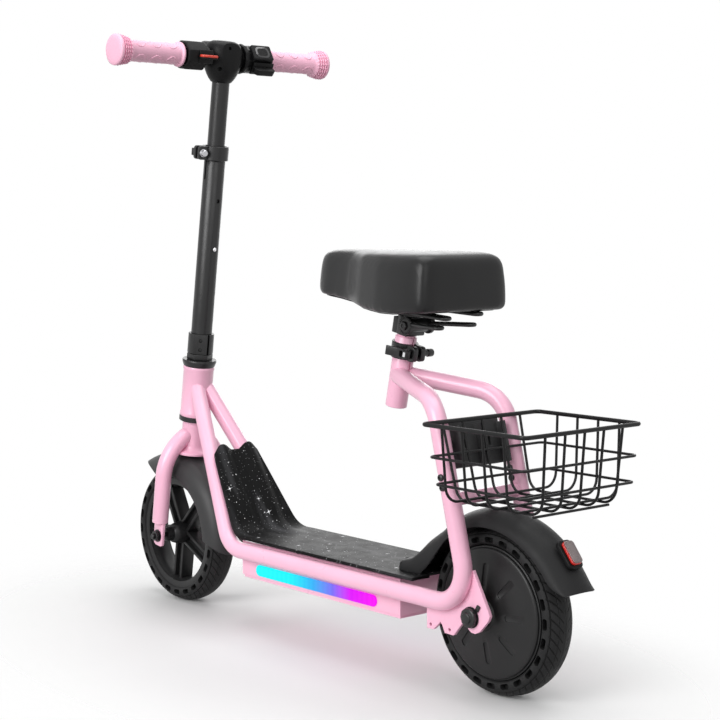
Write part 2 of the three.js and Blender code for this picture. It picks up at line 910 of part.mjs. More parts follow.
function rearFender() {
  const shell = sheetBetween(rearFenderGrid(0, 0), rearFenderGrid(0, rearFenderThickness));
  return shell.translate(0, 0, wheelRadius);
}

function tailLight(from, thickness, inset) {
  const halfLength = tailLightLength / 2 - inset;
  const halfWidth = tailLightWidth / 2 - inset;
  const corner = halfWidth * tailCornerShare;
  const outline = [];
  for (const [sx, sy] of [[1, 1], [-1, 1], [-1, -1], [1, -1]]) {
    const turn = Math.atan2(sy, sx) - Math.PI / 4;
    for (const share of [0, 0.5, 1]) {
      const angle = turn + (share * Math.PI) / 2;
      outline.push([
        sx * (halfLength - corner) + corner * Math.cos(angle),
        sy * (halfWidth - corner) + corner * Math.sin(angle),
      ]);
    }
  }
  const body = slab(outline, from, from + thickness);
  return body.rotateY(Math.PI / 2 - tailLightDegrees * degrees).translate(0, 0, wheelRadius);
}

const tailSeat = rearFenderCrown(tailLightDegrees);

function tailLightBase() {
  const body = tailLight(tailSeat - overrun, tailBaseThickness + overrun, 0);
  const shellSpace = sheetBetween(rearFenderGrid(fit, 0), rearFenderGrid(fit, 2 * overrun));
  shellSpace.translate(0, 0, wheelRadius);
  return largestBody(cut(body, shellSpace));
}

function tailLightLens() {
  return tailLight(tailSeat + tailBaseThickness + fit, tailLensThickness, tailLensInset);
}

// Basket of welded wires and the bracket that carries it on the stays

const rimWireRadius = basketRimWire / 2;
const wireRadius = basketWire / 2;
const stayBack = frameTubeRadius / Math.cos(stayLean);

function basketFrontX(height) {
  return stayX(height) - stayBack - rimWireRadius - fit;
}

function basketRearX(height) {
  const share = (basketRimHeight - height) / basketDepth;
  return basketFrontX(basketRimHeight) - basketLength + basketRearTaper * share;
}

function basketSideY(height) {
  const share = (basketRimHeight - height) / basketDepth;
  return basketHalfWidth - basketSideTaper * share;
}

function basketRing(height, radius, inset) {
  const front = basketFrontX(height) - inset;
  const rear = basketRearX(height) + inset;
  const side = basketSideY(height) - inset;
  const corners = [[front, side], [rear, side], [rear, -side], [front, -side]];
  const stations = [];
  corners.forEach(([x, y]) => {
    const centreX = x - Math.sign(x - (front + rear) / 2) * basketCornerRadius;
    const centreY = y - Math.sign(y) * basketCornerRadius;
    const out = Math.atan2(y - centreY, x - centreX);
    for (const share of [-1, 0, 1]) {
      const angle = out + (share * Math.PI) / 4;
      const along = basketCornerRadius * Math.cos(angle);
      const across = basketCornerRadius * Math.sin(angle);
      stations.push(new THREE.Vector3(centreX + along, centreY + across, height));
    }
  });
  return closedTube(stations, radius, basketWireSides);
}

function basketHoop(corners) {
  const radii = [basketFootRadius, basketFootRadius];
  return tubeAlong(roundedRoute(corners, radii, wireBendSteps), wireRadius, basketWireSides);
}

function basket() {
  const bottom = basketRimHeight - basketDepth;
  const rings = basketRingShares.map((share) =>
    basketRing(basketRimHeight - share * basketDepth, wireRadius, wireRadius * 2 * basketWeldShare),
  );
  const longHoops = Array.from({ length: basketLongWires }, (_, i) => {
    const share = (2 * (i + 1)) / (basketLongWires + 1) - 1;
    const top = share * basketSideY(basketRimHeight);
    const foot = share * basketSideY(bottom);
    return basketHoop([
      new THREE.Vector3(basketFrontX(basketRimHeight), top, basketRimHeight),
      new THREE.Vector3(basketFrontX(bottom), foot, bottom),
      new THREE.Vector3(basketRearX(bottom), foot, bottom),
      new THREE.Vector3(basketRearX(basketRimHeight), top, basketRimHeight),
    ]);
  });
  const crossHoops = Array.from({ length: basketCrossWires }, (_, i) => {
    const share = (i + 1) / (basketCrossWires + 1);
    const at = (height) =>
      basketFrontX(height) + (basketRearX(height) - basketFrontX(height)) * share;
    const low = bottom + wireRadius * 2 * basketWeldShare;
    const corner = (height, side) =>
      new THREE.Vector3(at(height), side * basketSideY(height), height);
    return basketHoop([
      corner(basketRimHeight, 1), corner(low, 1), corner(low, -1), corner(basketRimHeight, -1),
    ]);
  });
  return join(basketRing(basketRimHeight, rimWireRadius, 0), ...rings, ...longHoops, ...crossHoops);
}

function basketBracket() {
  const gapBehind = basketFrontX(bracketBottomHeight) - stayX(bracketBottomHeight);
  const ribBack = gapBehind * Math.cos(stayLean) + wireRadius + fit;
  const half = bracketHalfWidth;
  const height = bracketHeight / Math.cos(stayLean);
  const body = block(0, bracketDepth, -half, half, 0, height);
  const ribPlaces = [-half, -bracketRibWidth / 2, half - bracketRibWidth];
  const ribs = ribPlaces.map((from) =>
    block(ribBack, bracketDepth / 2, from, from + bracketRibWidth, 0, height - bracketRibDrop),
  );
  const slots = [-1, 1].map((side) =>
    block(
      -overrun, bracketDepth + overrun,
      (side * half) / 2 - bracketSlotWidth / 2, (side * half) / 2 + bracketSlotWidth / 2,
      height / 2 - bracketSlotLength / 2, height / 2 + bracketSlotLength / 2,
    ),
  );
  const lugUp = bracketLugUp / Math.cos(stayLean);
  const lug = rodY(bracketLugOd / 2, -frameTubeSpread, frameTubeSpread, tubeSides);
  lug.translate(bracketDepth / 2, 0, lugUp);
  const whole = cut(join(body, lug, ...ribs), ...slots);
  whole.rotateY(stayLean).translate(stayX(bracketBottomHeight), 0, bracketBottomHeight);
  const spaces = [1, -1].map((side) => tubeAlong(frameTubeRoute(side), frameTubeRadius + fit));
  return largestBody(cut(whole, ...spaces));
}

// Wheels

function tyre() {
  const half = tyreWidth / 2;
  const tread = treadWidth / 2;
  const seat = tyreSeatWidth / 2 - rimFlangeWidth - fit;
  const flat = 1 / Math.cos(Math.PI / wheelSides);
  const outer = wheelRadius * flat;
  const shoulder = (wheelRadius - treadCrown) * flat;
  const bead = tyreSeatRadius + rimFlangeHeight + fit;
  return turnedY(
    [
      [tyreSeatRadius, -seat], [bead, -seat], [sidewallRadius, -half], [shoulder, -half + treadCrown],
      [outer, -tread], [outer, tread], [shoulder, half - treadCrown], [sidewallRadius, half],
      [bead, seat], [tyreSeatRadius, seat], [tyreSeatRadius, -seat],
    ],
    wheelSides,
  ).rotateY(flatDown);
}

function motorShell() {
  const inner = tyreSeatRadius - fit - hubWall;
  const outer = tyreSeatRadius - fit;
  const bore = rearAxleOd / 2 + hubBearingGap;
  return turnedY(
    [
      [bore, -hubBossReach], [hubBossRadius, -hubBossReach], [hubBossRadius, -hubHalfWidth - hubDome],
      [outer - hubWall, -hubHalfWidth], [outer, -hubHalfWidth + hubWall], [outer, hubHalfWidth - hubWall],
      [inner, hubHalfWidth - hubWall], [inner, -hubHalfWidth + hubWall],
      [hubBossRadius, -hubHalfWidth - hubDome + hubWall], [bore, -hubHalfWidth - hubDome + hubWall],
      [bore, -hubBossReach],
    ],
    wheelSides,
  ).rotateY(flatDown);
}

function motorCover() {
  const rim = tyreSeatRadius - fit;
  const bore = rearAxleOd / 2 + hubBearingGap;
  return turnedY(
    [
      [bore, hubHalfWidth + hubDome - hubWall], [hubBossRadius, hubHalfWidth + hubDome - hubWall],
      [rim - 2 * hubWall, hubHalfWidth - hubWall + fit], [rim, hubHalfWidth - hubWall + fit],
      [rim, hubHalfWidth - hubEdge], [rim - hubWall, hubHalfWidth], [hubBossRadius, hubHalfWidth + hubDome],
      [hubBossRadius, hubBossReach], [bore, hubBossReach], [bore, hubHalfWidth + hubDome - hubWall],
    ],
    wheelSides,
  ).rotateY(flatDown);
}

function axleNut(side, from, outerRadius, thickness, capRadius, capLength, boreRadius, capDepth) {
  const base = side * from;
  const lip = side * (from + thickness);
  const end = side * (from + thickness + capLength);
  return turnedY(
    [
      [boreRadius, base], [outerRadius, base], [outerRadius, lip], [capRadius, lip],
      [capRadius, end], [0, end], [0, end - side * capDepth], [boreRadius, end - side * capDepth],
      [boreRadius, base],
    ],
    tubeSides,
  );
}

function frontRim() {
  const outer = tyreSeatRadius - fit;
  const half = tyreSeatWidth / 2;
  const bed = outer - rimHoopThickness;
  const lip = outer + rimFlangeHeight;
  const hoop = turnedY(
    [
      [bed, -half], [lip, -half], [lip, -half + rimFlangeWidth], [outer, -half + rimFlangeWidth],
      [outer, half - rimFlangeWidth], [lip, half - rimFlangeWidth], [lip, half], [bed, half],
      [bed, -half],
    ],
    wheelSides,
  ).rotateY(flatDown + rake);
  const hub = rodY(frontHubRadius, -frontHubHalfLength, frontHubHalfLength, tubeSides);
  const spokes = Array.from({ length: spokeCount }, (_, i) => {
    const reach = bed + rimHoopThickness / 2;
    const wide = spokeWidth / 2;
    const deep = spokeDepth / 2;
    const web = block(0, reach, -spokeWeb / 2, spokeWeb / 2, -wide, wide);
    const ribs = [1, -1].map((side) => {
      const inner = side * (wide - spokeRib);
      const outerEdge = side * wide;
      return block(0, reach, -deep, deep, Math.min(inner, outerEdge), Math.max(inner, outerEdge));
    });
    return join(web, ...ribs).rotateY((2 * Math.PI * i) / spokeCount - Math.PI / 2);
  });
  const bore = rodY(frontAxleOd / 2 + hubBearingGap, -frontHubHalfLength - overrun,
    frontHubHalfLength + overrun, tubeSides);
  return cut(join(hoop, hub, ...spokes), bore);
}

// Fork, headset and stem, along the steering axis

const lowerCupTop = headTubeBottom - fit;
const locknutBottom = headTubeTop + fit + upperCupHeight + fit;
const baseClampBottom = locknutBottom + locknutHeight + fit;
const baseClampTop = baseClampBottom + baseClampHeight;
const crownTop = lowerCupBottom - fit;
const tabTop = forkLegBottom + overrun;

function forkLegRoute(side) {
  const stations = [new THREE.Vector3(0, side * forkLegSpread, forkLegBottom)];
  const centreY = forkLegSpread - forkLegBendRadius;
  for (let step = 0; step <= bendSteps; step++) {
    const angle = ((forkLegSweepDegrees * step) / bendSteps) * degrees;
    const y = centreY + forkLegBendRadius * Math.cos(angle);
    const up = forkLegBendUp + forkLegBendRadius * Math.sin(angle);
    stations.push(new THREE.Vector3(0, side * y, up));
  }
  return stations;
}

function forkTab(side) {
  const half = forkTabWidth / 2;
  const inner = forkLegSpread - forkTabThickness / 2;
  const outer = forkLegSpread + forkTabThickness / 2;
  const body = block(-half, half, inner, outer, -forkTabDrop, tabTop);
  const slotHalf = frontAxleOd / 2 + fit;
  const slot = join(
    block(0, half + overrun, inner - overrun, outer + overrun, -slotHalf, slotHalf),
    rodY(slotHalf, inner - overrun, outer + overrun, tubeSides),
  );
  const whole = cut(body, slot);
  return side > 0 ? whole : whole.scale(1, -1, 1);
}

function fork() {
  const flange = crownFlangeOd / 2;
  const crown = turnedZ([
    [0, crownBottom], [flange, crownBottom], [flange, crownBottom + crownFlangeThickness],
    [crownTubeOd / 2, crownBottom + crownFlangeThickness + crownConeUp], [crownTubeOd / 2, crownTop],
    [steererRadius, crownTop], [steererRadius, baseClampTop - overrun], [0, baseClampTop - overrun],
  ]);
  const legs = [1, -1].map((side) => tubeAlong(forkLegRoute(side), forkLegOd / 2));
  return join(crown, ...legs, forkTab(1), forkTab(-1));
}

function upperCup() {
  const bore = steererRadius + fit;
  const seat = headTubeTop + fit;
  const top = seat + upperCupHeight;
  return turnedZ([
    [bore, seat], [headTubeOd / 2, seat], [upperCupOd / 2, top - upperCupLip], [upperCupOd / 2, top],
    [bore, top], [bore, seat],
  ]);
}

function baseClamp() {
  const body = ringZ(steererRadius + fit, baseClampOd / 2, baseClampBottom, baseClampTop);
  const slot = block(-baseClampOd, 0, -baseClampSlot / 2, baseClampSlot / 2,
    baseClampBottom - overrun, baseClampTop + overrun);
  return cut(body, slot);
}

function stemTube() {
  const inner = stemTubeRadius - stemTubeWall;
  const body = ringZ(inner, stemTubeRadius, baseClampTop + fit, stemTubeTop);
  const slot = block(-stemSlotWidth / 2, stemSlotWidth / 2, 0, stemTubeOd,
    stemTubeTop - stemSlotLength, stemTubeTop + overrun);
  const holeRadius = heightButtonOd / 2 + fit;
  const holes = [0, heightHoleStep].map((up) =>
    rodX(holeRadius, -stemTubeOd, 0, tubeSides).translate(0, 0, heightButtonUp + up),
  );
  return cut(body, slot, ...holes);
}

const innerTubeRadius = stemTubeRadius - stemTubeWall - fit;

function innerTube() {
  const body = ringZ(innerTubeRadius - innerTubeWall, innerTubeRadius, innerTubeBottom,
    handlebarUp - barRadius - overrun);
  const slotHalf = heightButtonOd / 2 + 2 * fit;
  const slot = join(
    block(-stemTubeOd, 0, -slotHalf, slotHalf, innerTubeBottom - overrun, heightButtonUp),
    rodX(slotHalf, -stemTubeOd, 0, tubeSides).translate(0, 0, heightButtonUp),
  );
  return cut(body, slot);
}

function heightButton() {
  const root = stemTubeRadius - stemTubeWall;
  const rim = stemTubeRadius + heightButtonDome / 2;
  const radius = heightButtonOd / 2;
  const dome = turnedZ(
    [[0, root + fit / 2], [radius, root + fit / 2], [radius, rim],
      [radius * 0.7, rim + heightButtonDome * 0.8],
      [0, rim + heightButtonDome]],
    tubeSides,
  );
  return dome.rotateY(-Math.PI / 2).translate(0, 0, heightButtonUp);
}

// A clamp ring with two ears; the ears point along +Y before it is turned
function clampRing(inner, wall, fromZ, height, ear, gap, thickness, boltRadius, boltOut) {
  const outer = inner + wall;
  const ring = ringZ(inner, outer, fromZ, fromZ + height);
  const tip = inner + ear;
  const ears = [1, -1].map((side) => {
    const near = (side * gap) / 2;
    const far = side * (gap / 2 + thickness);
    return block(Math.min(near, far), Math.max(near, far), inner + wall / 2, tip, fromZ, fromZ + height);
  });
  const gapSpace = block(-gap / 2, gap / 2, 0, tip + overrun, fromZ - overrun, fromZ + height + overrun);
  const bolt = rodX(boltRadius, -tip, tip, tubeSides).translate(0, boltOut, fromZ + height / 2);
  return cut(join(ring, ...ears), gapSpace, bolt);
}

const stemCollarInner = stemTubeRadius + fit;
const stemBoltOut = stemCollarInner + stemEarReach * stemBoltShare;
const stemCollarMiddle = stemCollarBottom + stemCollarHeight / 2;

function stemCollar() {
  return clampRing(stemCollarInner, stemCollarWall, stemCollarBottom, stemCollarHeight,
    stemEarReach, stemEarGap, stemEarThickness, stemBoltOd / 2 + fit, stemBoltOut);
}

const stemEarFace = stemEarGap / 2 + stemEarThickness;
const stemLeverPivotX = stemEarFace + fit + stemLeverBarrelOd / 2;

// The quick-release lever: a barrel in front of the ears and a strap that wraps the stem
function stemLever() {
  const middle = stemCollarMiddle;
  const halfHigh = stemLeverHeight / 2;
  const barrel = rodZ(stemLeverBarrelOd / 2, middle - halfHigh, middle + halfHigh, tubeSides);
  barrel.translate(stemLeverPivotX, stemBoltOut, 0);
  const inner = stemCollarInner + stemCollarWall + stemLeverClear;
  const outer = inner + stemLeverThickness;
  const arc = [];
  const from = Math.atan2(stemBoltOut, stemLeverPivotX);
  const to = stemLeverEndDegrees * degrees;
  for (let i = 0; i <= stemLeverSteps; i++) {
    const share = i / stemLeverSteps;
    const angle = from + (to - from) * share;
    const grow = (stemBoltOut - inner) * Math.max(0, 1 - stemLeverTaper * share);
    arc.push([angle, inner + grow]);
  }
  const outline = [
    ...arc.map(([angle, radius]) => [radius * Math.cos(angle), radius * Math.sin(angle)]),
    ...arc.reverse().map(([angle, radius]) => [
      (radius + stemLeverThickness) * Math.cos(angle),
      (radius + stemLeverThickness) * Math.sin(angle),
    ]),
  ];
  const blade = slab(outline, middle - halfHigh, middle + halfHigh);
  const tipHalf = halfHigh / 2;
  const tip = block(-tipHalf, tipHalf, -tipHalf, tipHalf, middle - halfHigh, middle + halfHigh);
  const tipOut = (inner + outer) / 2;
  tip.translate(tipOut * Math.cos(to), tipOut * Math.sin(to) - tipHalf / 2, 0);
  return join(barrel, blade, tip);
}

function stemBolt() {
  const shank = rodX(stemBoltOd / 2, -stemEarFace - boltEndGap, stemEarFace - fit, tubeSides);
  const nut = rodX(stemNutOd / 2, -stemEarFace - fit - stemNutLength, -stemEarFace - fit, tubeSides);
  return join(shank, nut).translate(0, stemBoltOut, stemCollarMiddle);
}

// Head of the stem: a drop-shaped casting as shares of its radius and height
const headShares = [
  [0.49, 0], [0.62, 0.09], [0.83, 0.26], [0.96, 0.45], [1, 0.62], [0.95, 0.8], [0.78, 0.93], [0.45, 1],
];
const headFacetShare = 0.78;

function headBody(radius, grow) {
  const height = headTop - headBottom;
  const profile = headShares.map(([out, up]) => [out * radius + grow, headBottom + up * height]);
  const top = headTop + grow;
  return turnedZ([[0, headBottom - grow], ...profile, [0, top]]);
}

function stemHead() {
  const facet = block(-2 * stemHeadRadius, -stemHeadRadius * headFacetShare, -stemHeadRadius,
    stemHeadRadius, headBottom - overrun, headTop + overrun);
  facet.translate(0, 0, -handlebarUp).rotateY(headFacetDegrees * degrees).translate(0, 0, handlebarUp);
  const tubeSpace = rodZ(innerTubeRadius + fit, headBottom - overrun, handlebarUp - barRadius);
  const barSpace = rodY(barRadius + fit, -2 * stemHeadRadius, 2 * stemHeadRadius)
    .translate(0, 0, handlebarUp);
  return cut(headBody(stemHeadRadius, 0), facet, tubeSpace, barSpace);
}

function headlight() {
  const from = headlightOutset - headlightLength / 2;
  const body = rodX(headlightOd / 2, from, headlightOutset + headlightLength)
    .translate(0, 0, handlebarUp + headlightUp);
  const barSpace = rodY(barRadius + fit, -headlightOd, headlightOd).translate(0, 0, handlebarUp);
  return largestBody(cut(body, headBody(stemHeadRadius, fit), barSpace));
}

// Handlebar and controls, in a group at the bar's middle

const bar = new THREE.Group();
bar.position.z = handlebarUp;
steering.add(bar);

function handlebar() {
  return ringY(barRadius - handlebarWall, barRadius, -handlebarHalfLength, handlebarHalfLength);
}

function grip(side, length) {
  const bore = barRadius + fit;
  const outer = gripOd / 2;
  const end = gripEndReach;
  const start = end - length;
  const flange = gripFlangeOd / 2;
  const inner = gripInnerFlangeOd / 2;
  const profile = [
    [0, handlebarHalfLength + fit], [bore, handlebarHalfLength + fit], [bore, start],
    [inner, start], [inner, start + gripInnerFlangeLength], [outer, start + gripInnerFlangeLength],
    [outer, end - gripFlangeLength], [flange, end - gripFlangeLength],
    [flange, end - gripFlangeLength * gripEdgeShare],
    [outer, end - gripCrown], [0, end],
  ];
  return turnedY(profile.map(([radius, y]) => [radius, side * y]));
}

function eightSided(radius, from, to) {
  return rodY(radius / Math.cos(podTurn), from, to, podSides).rotateY(podTurn);
}

function brakePod() {
  const body = eightSided(podRadius, brakePodFrom, brakePodTo);
  return cut(body, rodY(barRadius + fit, brakePodFrom - overrun, brakePodTo + overrun));
}

function displayPod() {
  const barrel = rodY(displayPodRadius, -displayPodTo, -displayPodFrom);
  const hood = block(-displayHoodBack, displayHoodFront, -displayPodTo + displayHoodHeight,
    -throttleFrom, 0, displayPodRadius + displayHoodHeight);
  hood.rotateY(-displayLeanDegrees * degrees);
  const buttonAngle = powerButtonAt * degrees;
  const pocket = rodX(powerButtonOd / 2 + fit, displayPodRadius - powerButtonPocket,
    displayPodRadius + overrun, tubeSides)
    .rotateY(buttonAngle - Math.PI).translate(0, -powerButtonY, 0);
  const bore = rodY(barRadius + fit, -displayPodTo - overrun, -displayPodFrom + overrun);
  return cut(join(barrel, hood), bore, pocket);
}

const powerButtonY = displayPodFrom + powerButtonOd * powerButtonInShare;

function powerButton() {
  const body = rodX(powerButtonOd / 2, displayPodRadius - powerButtonPocket / 2,
    displayPodRadius + powerButtonProud, tubeSides);
  return body.rotateY(powerButtonAt * degrees - Math.PI).translate(0, -powerButtonY, 0);
}

// A thumb paddle that turns on a pod: a curved root on the pod and a blade behind it
function thumbLever(side, podReach, from, to, thickness, dropDegrees) {
  const inner = podReach + fit;
  const spread = leverSpreadDegrees * degrees;
  const arcAt = (radius) =>
    Array.from({ length: bendSteps + 1 }, (_, i) => {
      const angle = Math.PI - spread + (2 * spread * i) / bendSteps;
      return [radius * Math.cos(angle), radius * Math.sin(angle)];
    });
  const root = plate([...arcAt(inner), ...arcAt(inner + leverRoot).reverse()], from, to);
  const half = thickness / 2;
  const blade = block(-inner - leverReach, -inner - leverRoot / 2, from, to, -half, half);
  const whole = join(root, blade).rotateY(-dropDegrees * degrees);
  return side > 0 ? whole : whole.scale(1, -1, 1);
}

// Seat tube, clamp and post, along the seat tube

function seatTube() {
  const body = ringZ(seatTubeRadius - seatTubeWall, seatTubeRadius, 0, seatTubeLength);
  const slot = block(-seatTubeOd, 0, -seatSlotWidth / 2, seatSlotWidth / 2,
    seatTubeLength - seatSlotLength, seatTubeLength + overrun);
  return cut(body, slot);
}

const seatCollarInner = seatTubeRadius + fit;
const seatBoltOut = seatCollarInner + seatBoltOutset;
const seatCollarMiddle = seatCollarUp + seatCollarHeight / 2;
const seatEarFace = seatEarGap / 2 + seatEarThickness;

function seatCollar() {
  const ring = clampRing(seatCollarInner, seatCollarWall, seatCollarUp, seatCollarHeight,
    seatEarReach, seatEarGap, seatEarThickness, seatBoltOd / 2 + fit, seatBoltOut);
  return ring.rotateZ(Math.PI / 2);
}

function seatBolt() {
  const shank = rodY(seatBoltOd / 2, -seatEarFace - boltEndGap, seatEarFace - fit, tubeSides);
  const nut = rodY(seatNutOd / 2, -seatEarFace - fit - seatNutLength, -seatEarFace - fit, tubeSides);
  return join(shank, nut).translate(-seatBoltOut, 0, seatCollarMiddle);
}

const seatLeverPivotY = seatEarFace + fit + seatLeverBarrelOd / 2;

function seatLever() {
  const half = seatLeverHeight / 2;
  const fromZ = seatCollarMiddle - half;
  const toZ = seatCollarMiddle + half;
  const barrel = rodZ(seatLeverBarrelOd / 2, fromZ, toZ, tubeSides);
  const wide = seatLeverThickness / 2;
  const far = seatLeverPivotY - wide + seatLeverBarrelOd / 2;
  const blade = slab(
    [[0, -wide], [seatLeverLength * 0.6, 0], [seatLeverLength, wide * 3], [seatLeverLength, wide * 5],
      [seatLeverLength * 0.6, wide * 2.4], [0, wide]],
    fromZ, toZ,
  ).translate(0, far - seatLeverPivotY, 0);
  return join(barrel, blade).translate(-seatBoltOut, seatLeverPivotY, 0);
}

const seatPostRadius = seatTubeRadius - seatTubeWall - fit;
const saddleClampBottom = seatTubeLength + saddleClampGap;
const saddleClampTop = saddleClampBottom + saddleClampHeight;

// The saddle and its rails follow the top of the clamp that carries them
const clampTop = onSeatAxis(saddleClampTop);
const saddleMidBottom = clampTop.z + saddleLift;
const saddleRearBottom = saddleMidBottom + saddleRearRise;
const saddleNoseBottom = saddleMidBottom + saddleNoseRise;
const saddleTopHeight = saddleMidBottom + saddleDepth;
const saddleRearX = clampTop.x - saddleRearReach;
const railRearX = saddleRearX + railRearInset;
const railFrontX = saddleRearX + saddleLength - railFrontInset;
const railHighHeight = saddleRearBottom - railHighDrop;
const railLowHeight = railHighHeight - railGap;
const railFrontHeight = saddleNoseBottom - railFrontDrop;

function seatPost() {
  return ringZ(seatPostRadius - seatPostWall, seatPostRadius, seatPostBottom, saddleClampTop - seatPostWall);
}

function saddleClamp() {
  const body = rodZ(saddleClampRadius, saddleClampBottom, saddleClampTop);
  const discs = rodY(saddleBoltRadius, -saddleBoltReach, saddleBoltReach)
    .translate(-saddleBoltSetback, 0, saddleClampBottom + saddleBoltUp);
  const headReach = saddleBoltReach + saddleBoltShank;
  const head = rodY(saddleBoltShank, -headReach, headReach, tubeSides)
    .translate(-saddleBoltSetback, 0, saddleClampBottom + saddleBoltUp);
  const postSpace = rodZ(seatPostRadius + fit, -overrun, saddleClampTop - seatPostWall + fit);
  return cut(join(body, discs, head), postSpace);
}

// Saddle: its half width as shares of its widest, against shares of its length from the rear
const saddleWidthShares = [
  [0, 0], [0.004, 0.8], [0.018, 0.957], [0.06, 0.985], [0.13, 1], [0.22, 0.99], [0.32, 0.955],
  [0.42, 0.86], [0.49, 0.8], [0.58, 0.63], [0.668, 0.48], [0.78, 0.43], [0.875, 0.404],
  [0.92, 0.33], [0.952, 0.245], [0.98, 0.13], [1, 0],
];

function saddleHalfAt(share) {
  const i = Math.max(1, saddleWidthShares.findIndex(([along]) => along >= share));
  const [from, low] = saddleWidthShares[i - 1];
  const [to, high] = saddleWidthShares[i];
  return saddleHalfWidth * (low + ((high - low) * (share - from)) / (to - from));
}

function saddleBottomAt(share) {
  if (share < saddleMidShare) {
    const t = share / saddleMidShare;
    return saddleRearBottom + (saddleMidBottom - saddleRearBottom) * t;
  }
  const t = (share - saddleMidShare) / (1 - saddleMidShare);
  const ease = t * t * (3 - 2 * t);
  return saddleMidBottom + (saddleNoseBottom - saddleMidBottom) * ease;
}

// Closed outline of the saddle at one level, drawn in by a margin
function saddleLevel(inset, liftShare, lift) {
  const along = saddleWidthShares.map(([share]) => share);
  const ring = [...along.slice(0, -1).map((share) => [share, 1]),
    ...along.slice(1).reverse().map((share) => [share, -1])];
  const length = saddleLength - 2 * inset;
  return ring.map(([share, side]) => {
    const half = Math.max(0, saddleHalfAt(share) * (1 - inset / saddleHalfWidth));
    const bottom = saddleBottomAt(share);
    const height = bottom + (saddleTopHeight - bottom) * liftShare + lift;
    const back = saddleTopSetback * liftShare;
    return new THREE.Vector3(saddleRearX + inset - back + length * share, side * half, height);
  });
}

function stackedLevels(levels) {
  const positions = [];
  const count = levels[0].length;
  for (let i = 0; i < levels.length - 1; i++) {
    for (let k = 0; k < count; k++) {
      const l = (k + 1) % count;
      positions.push(levels[i][k], levels[i][l], levels[i + 1][l]);
      positions.push(levels[i][k], levels[i + 1][l], levels[i + 1][k]);
    }
  }
  const cap = (ring, flip) => {
    for (let k = 0; k < count / 2; k++) {
      const a = ring[k];
      const b = ring[k + 1];
      const c = ring[(count - k - 1) % count];
      const d = ring[(count - k) % count];
      const quad = flip ? [a, d, c, a, c, b] : [a, b, c, a, c, d];
      positions.push(...quad);
    }
  };
  cap(levels[0], true);
  cap(levels[levels.length - 1], false);
  return new THREE.BufferGeometry().setFromPoints(positions);
}

// The saddle's side, as shares of its lean, of its edge round and of its height
const saddleSideShares = [[0.33, 0, 0.45], [1, 0, 0.8], [1, 0.3, 0.92]];
const saddleFlatShare = 0.6;

function saddleCushion() {
  const round = saddleEdgeRound;
  const levels = [
    saddleLevel(round / 3, 0, 0),
    saddleLevel(0, 0, round / 4),
    ...saddleSideShares.map(([lean, edge, lift]) =>
      saddleLevel(saddleSideLean * lean + round * edge, lift, 0),
    ),
    saddleLevel(saddleSideLean + round, 1, -saddleCrown / 2),
    saddleLevel(saddleHalfWidth * saddleFlatShare, 1, 0),
  ];
  const body = stackedLevels(levels);
  const baseSpace = stackedLevels([
    saddleLevel(saddleBaseInset - fit, 0, -overrun),
    saddleLevel(saddleBaseInset - fit, 0, saddleBaseThickness + fit),
  ]);
  return cut(body, baseSpace);
}

function saddleBase() {
  return stackedLevels([
    saddleLevel(saddleBaseInset, 0, 0),
    saddleLevel(saddleBaseInset, 0, saddleBaseThickness),
  ]);
}

// Wire rails under the saddle: out of the clamp, back to a hairpin and forward to the nose
function railRoute(side) {
  const y = side * railSpread;
  const bend = (railHighHeight - railLowHeight) / 2;
  const corners = [
    new THREE.Vector3(clampTop.x, side * railClampSpread, railLowHeight),
    new THREE.Vector3(railRearX, y, railLowHeight),
    new THREE.Vector3(railRearX, y, railHighHeight),
    new THREE.Vector3(railFrontX, y * railNoseShare, railFrontHeight),
  ];
  const tight = bend * railBendShare;
  return roundedRoute(corners, [tight, tight], wireBendSteps);
}

function saddleSprings() {
  const radius = railWireOd / 2;
  const rails = [1, -1].map((side) => tubeAlong(railRoute(side), radius, basketWireSides + 2));
  const yoke = rodY(radius, -railSpread, railSpread, basketWireSides + 2)
    .translate(railFrontX - radius, 0, railFrontHeight);
  const tie = rodY(radius, -railSpread, railSpread, basketWireSides + 2)
    .translate(railRearX + 2 * railWireOd, 0, railLowHeight);
  const clampSpace = join(
    rodZ(saddleClampRadius + fit, saddleClampBottom - overrun, saddleClampTop + fit),
    rodY(saddleBoltRadius + fit, -saddleBoltReach - fit, saddleBoltReach + fit)
      .translate(-saddleBoltSetback, 0, saddleClampBottom + saddleBoltUp),
  ).applyMatrix4(seatGroup.matrixWorld);
  const undersides = [saddleBaseInset - fit, saddleEdgeRound / 3 - fit].map((inset) =>
    stackedLevels([
      saddleLevel(inset, 0, -fit),
      saddleLevel(inset, 0, saddleDepth),
    ]),
  );
  return largestBody(cut(join(...rails, yoke, tie), clampSpace, ...undersides));
}

// Assembly

piece(steering, "head_tube", ringZ(headTubeOd / 2 - headTubeWall, headTubeOd / 2, headTubeBottom,
  headTubeTop), paint());
piece(steering, "headset_upper_cup", upperCup(), coated());
piece(steering, "headset_lower_cup", ringZ(steererRadius + fit, lowerCupOd / 2, lowerCupBottom,
  lowerCupTop), coated());
piece(scooter, "frame_tube_left", frameTube(1), paint());
piece(scooter, "frame_tube_right", frameTube(-1), paint());
piece(scooter, "stay_bridge", stayBridge(), paint());
piece(scooter, "dropout_left", largestBody(dropoutPlate(1)), paint());
piece(scooter, "dropout_right", largestBody(dropoutPlate(-1)), paint());
piece(seatGroup, "seat_tube", seatTube(), paint());
piece(seatGroup, "seat_clamp_collar", seatCollar(), coated());
piece(seatGroup, "seat_clamp_bolt", seatBolt(), metal());
piece(seatGroup, "seat_clamp_lever", seatLever(), coated());
piece(scooter, "battery_box", batteryBox(), paint());
piece(scooter, "battery_lid", batteryLid(), paint());
piece(scooter, "battery_pack", boxedUnit(boxFrontX - boxWall - packGap - packLength, packLength,
  packWidth, packHeight), material(blue, 0.6, 0));
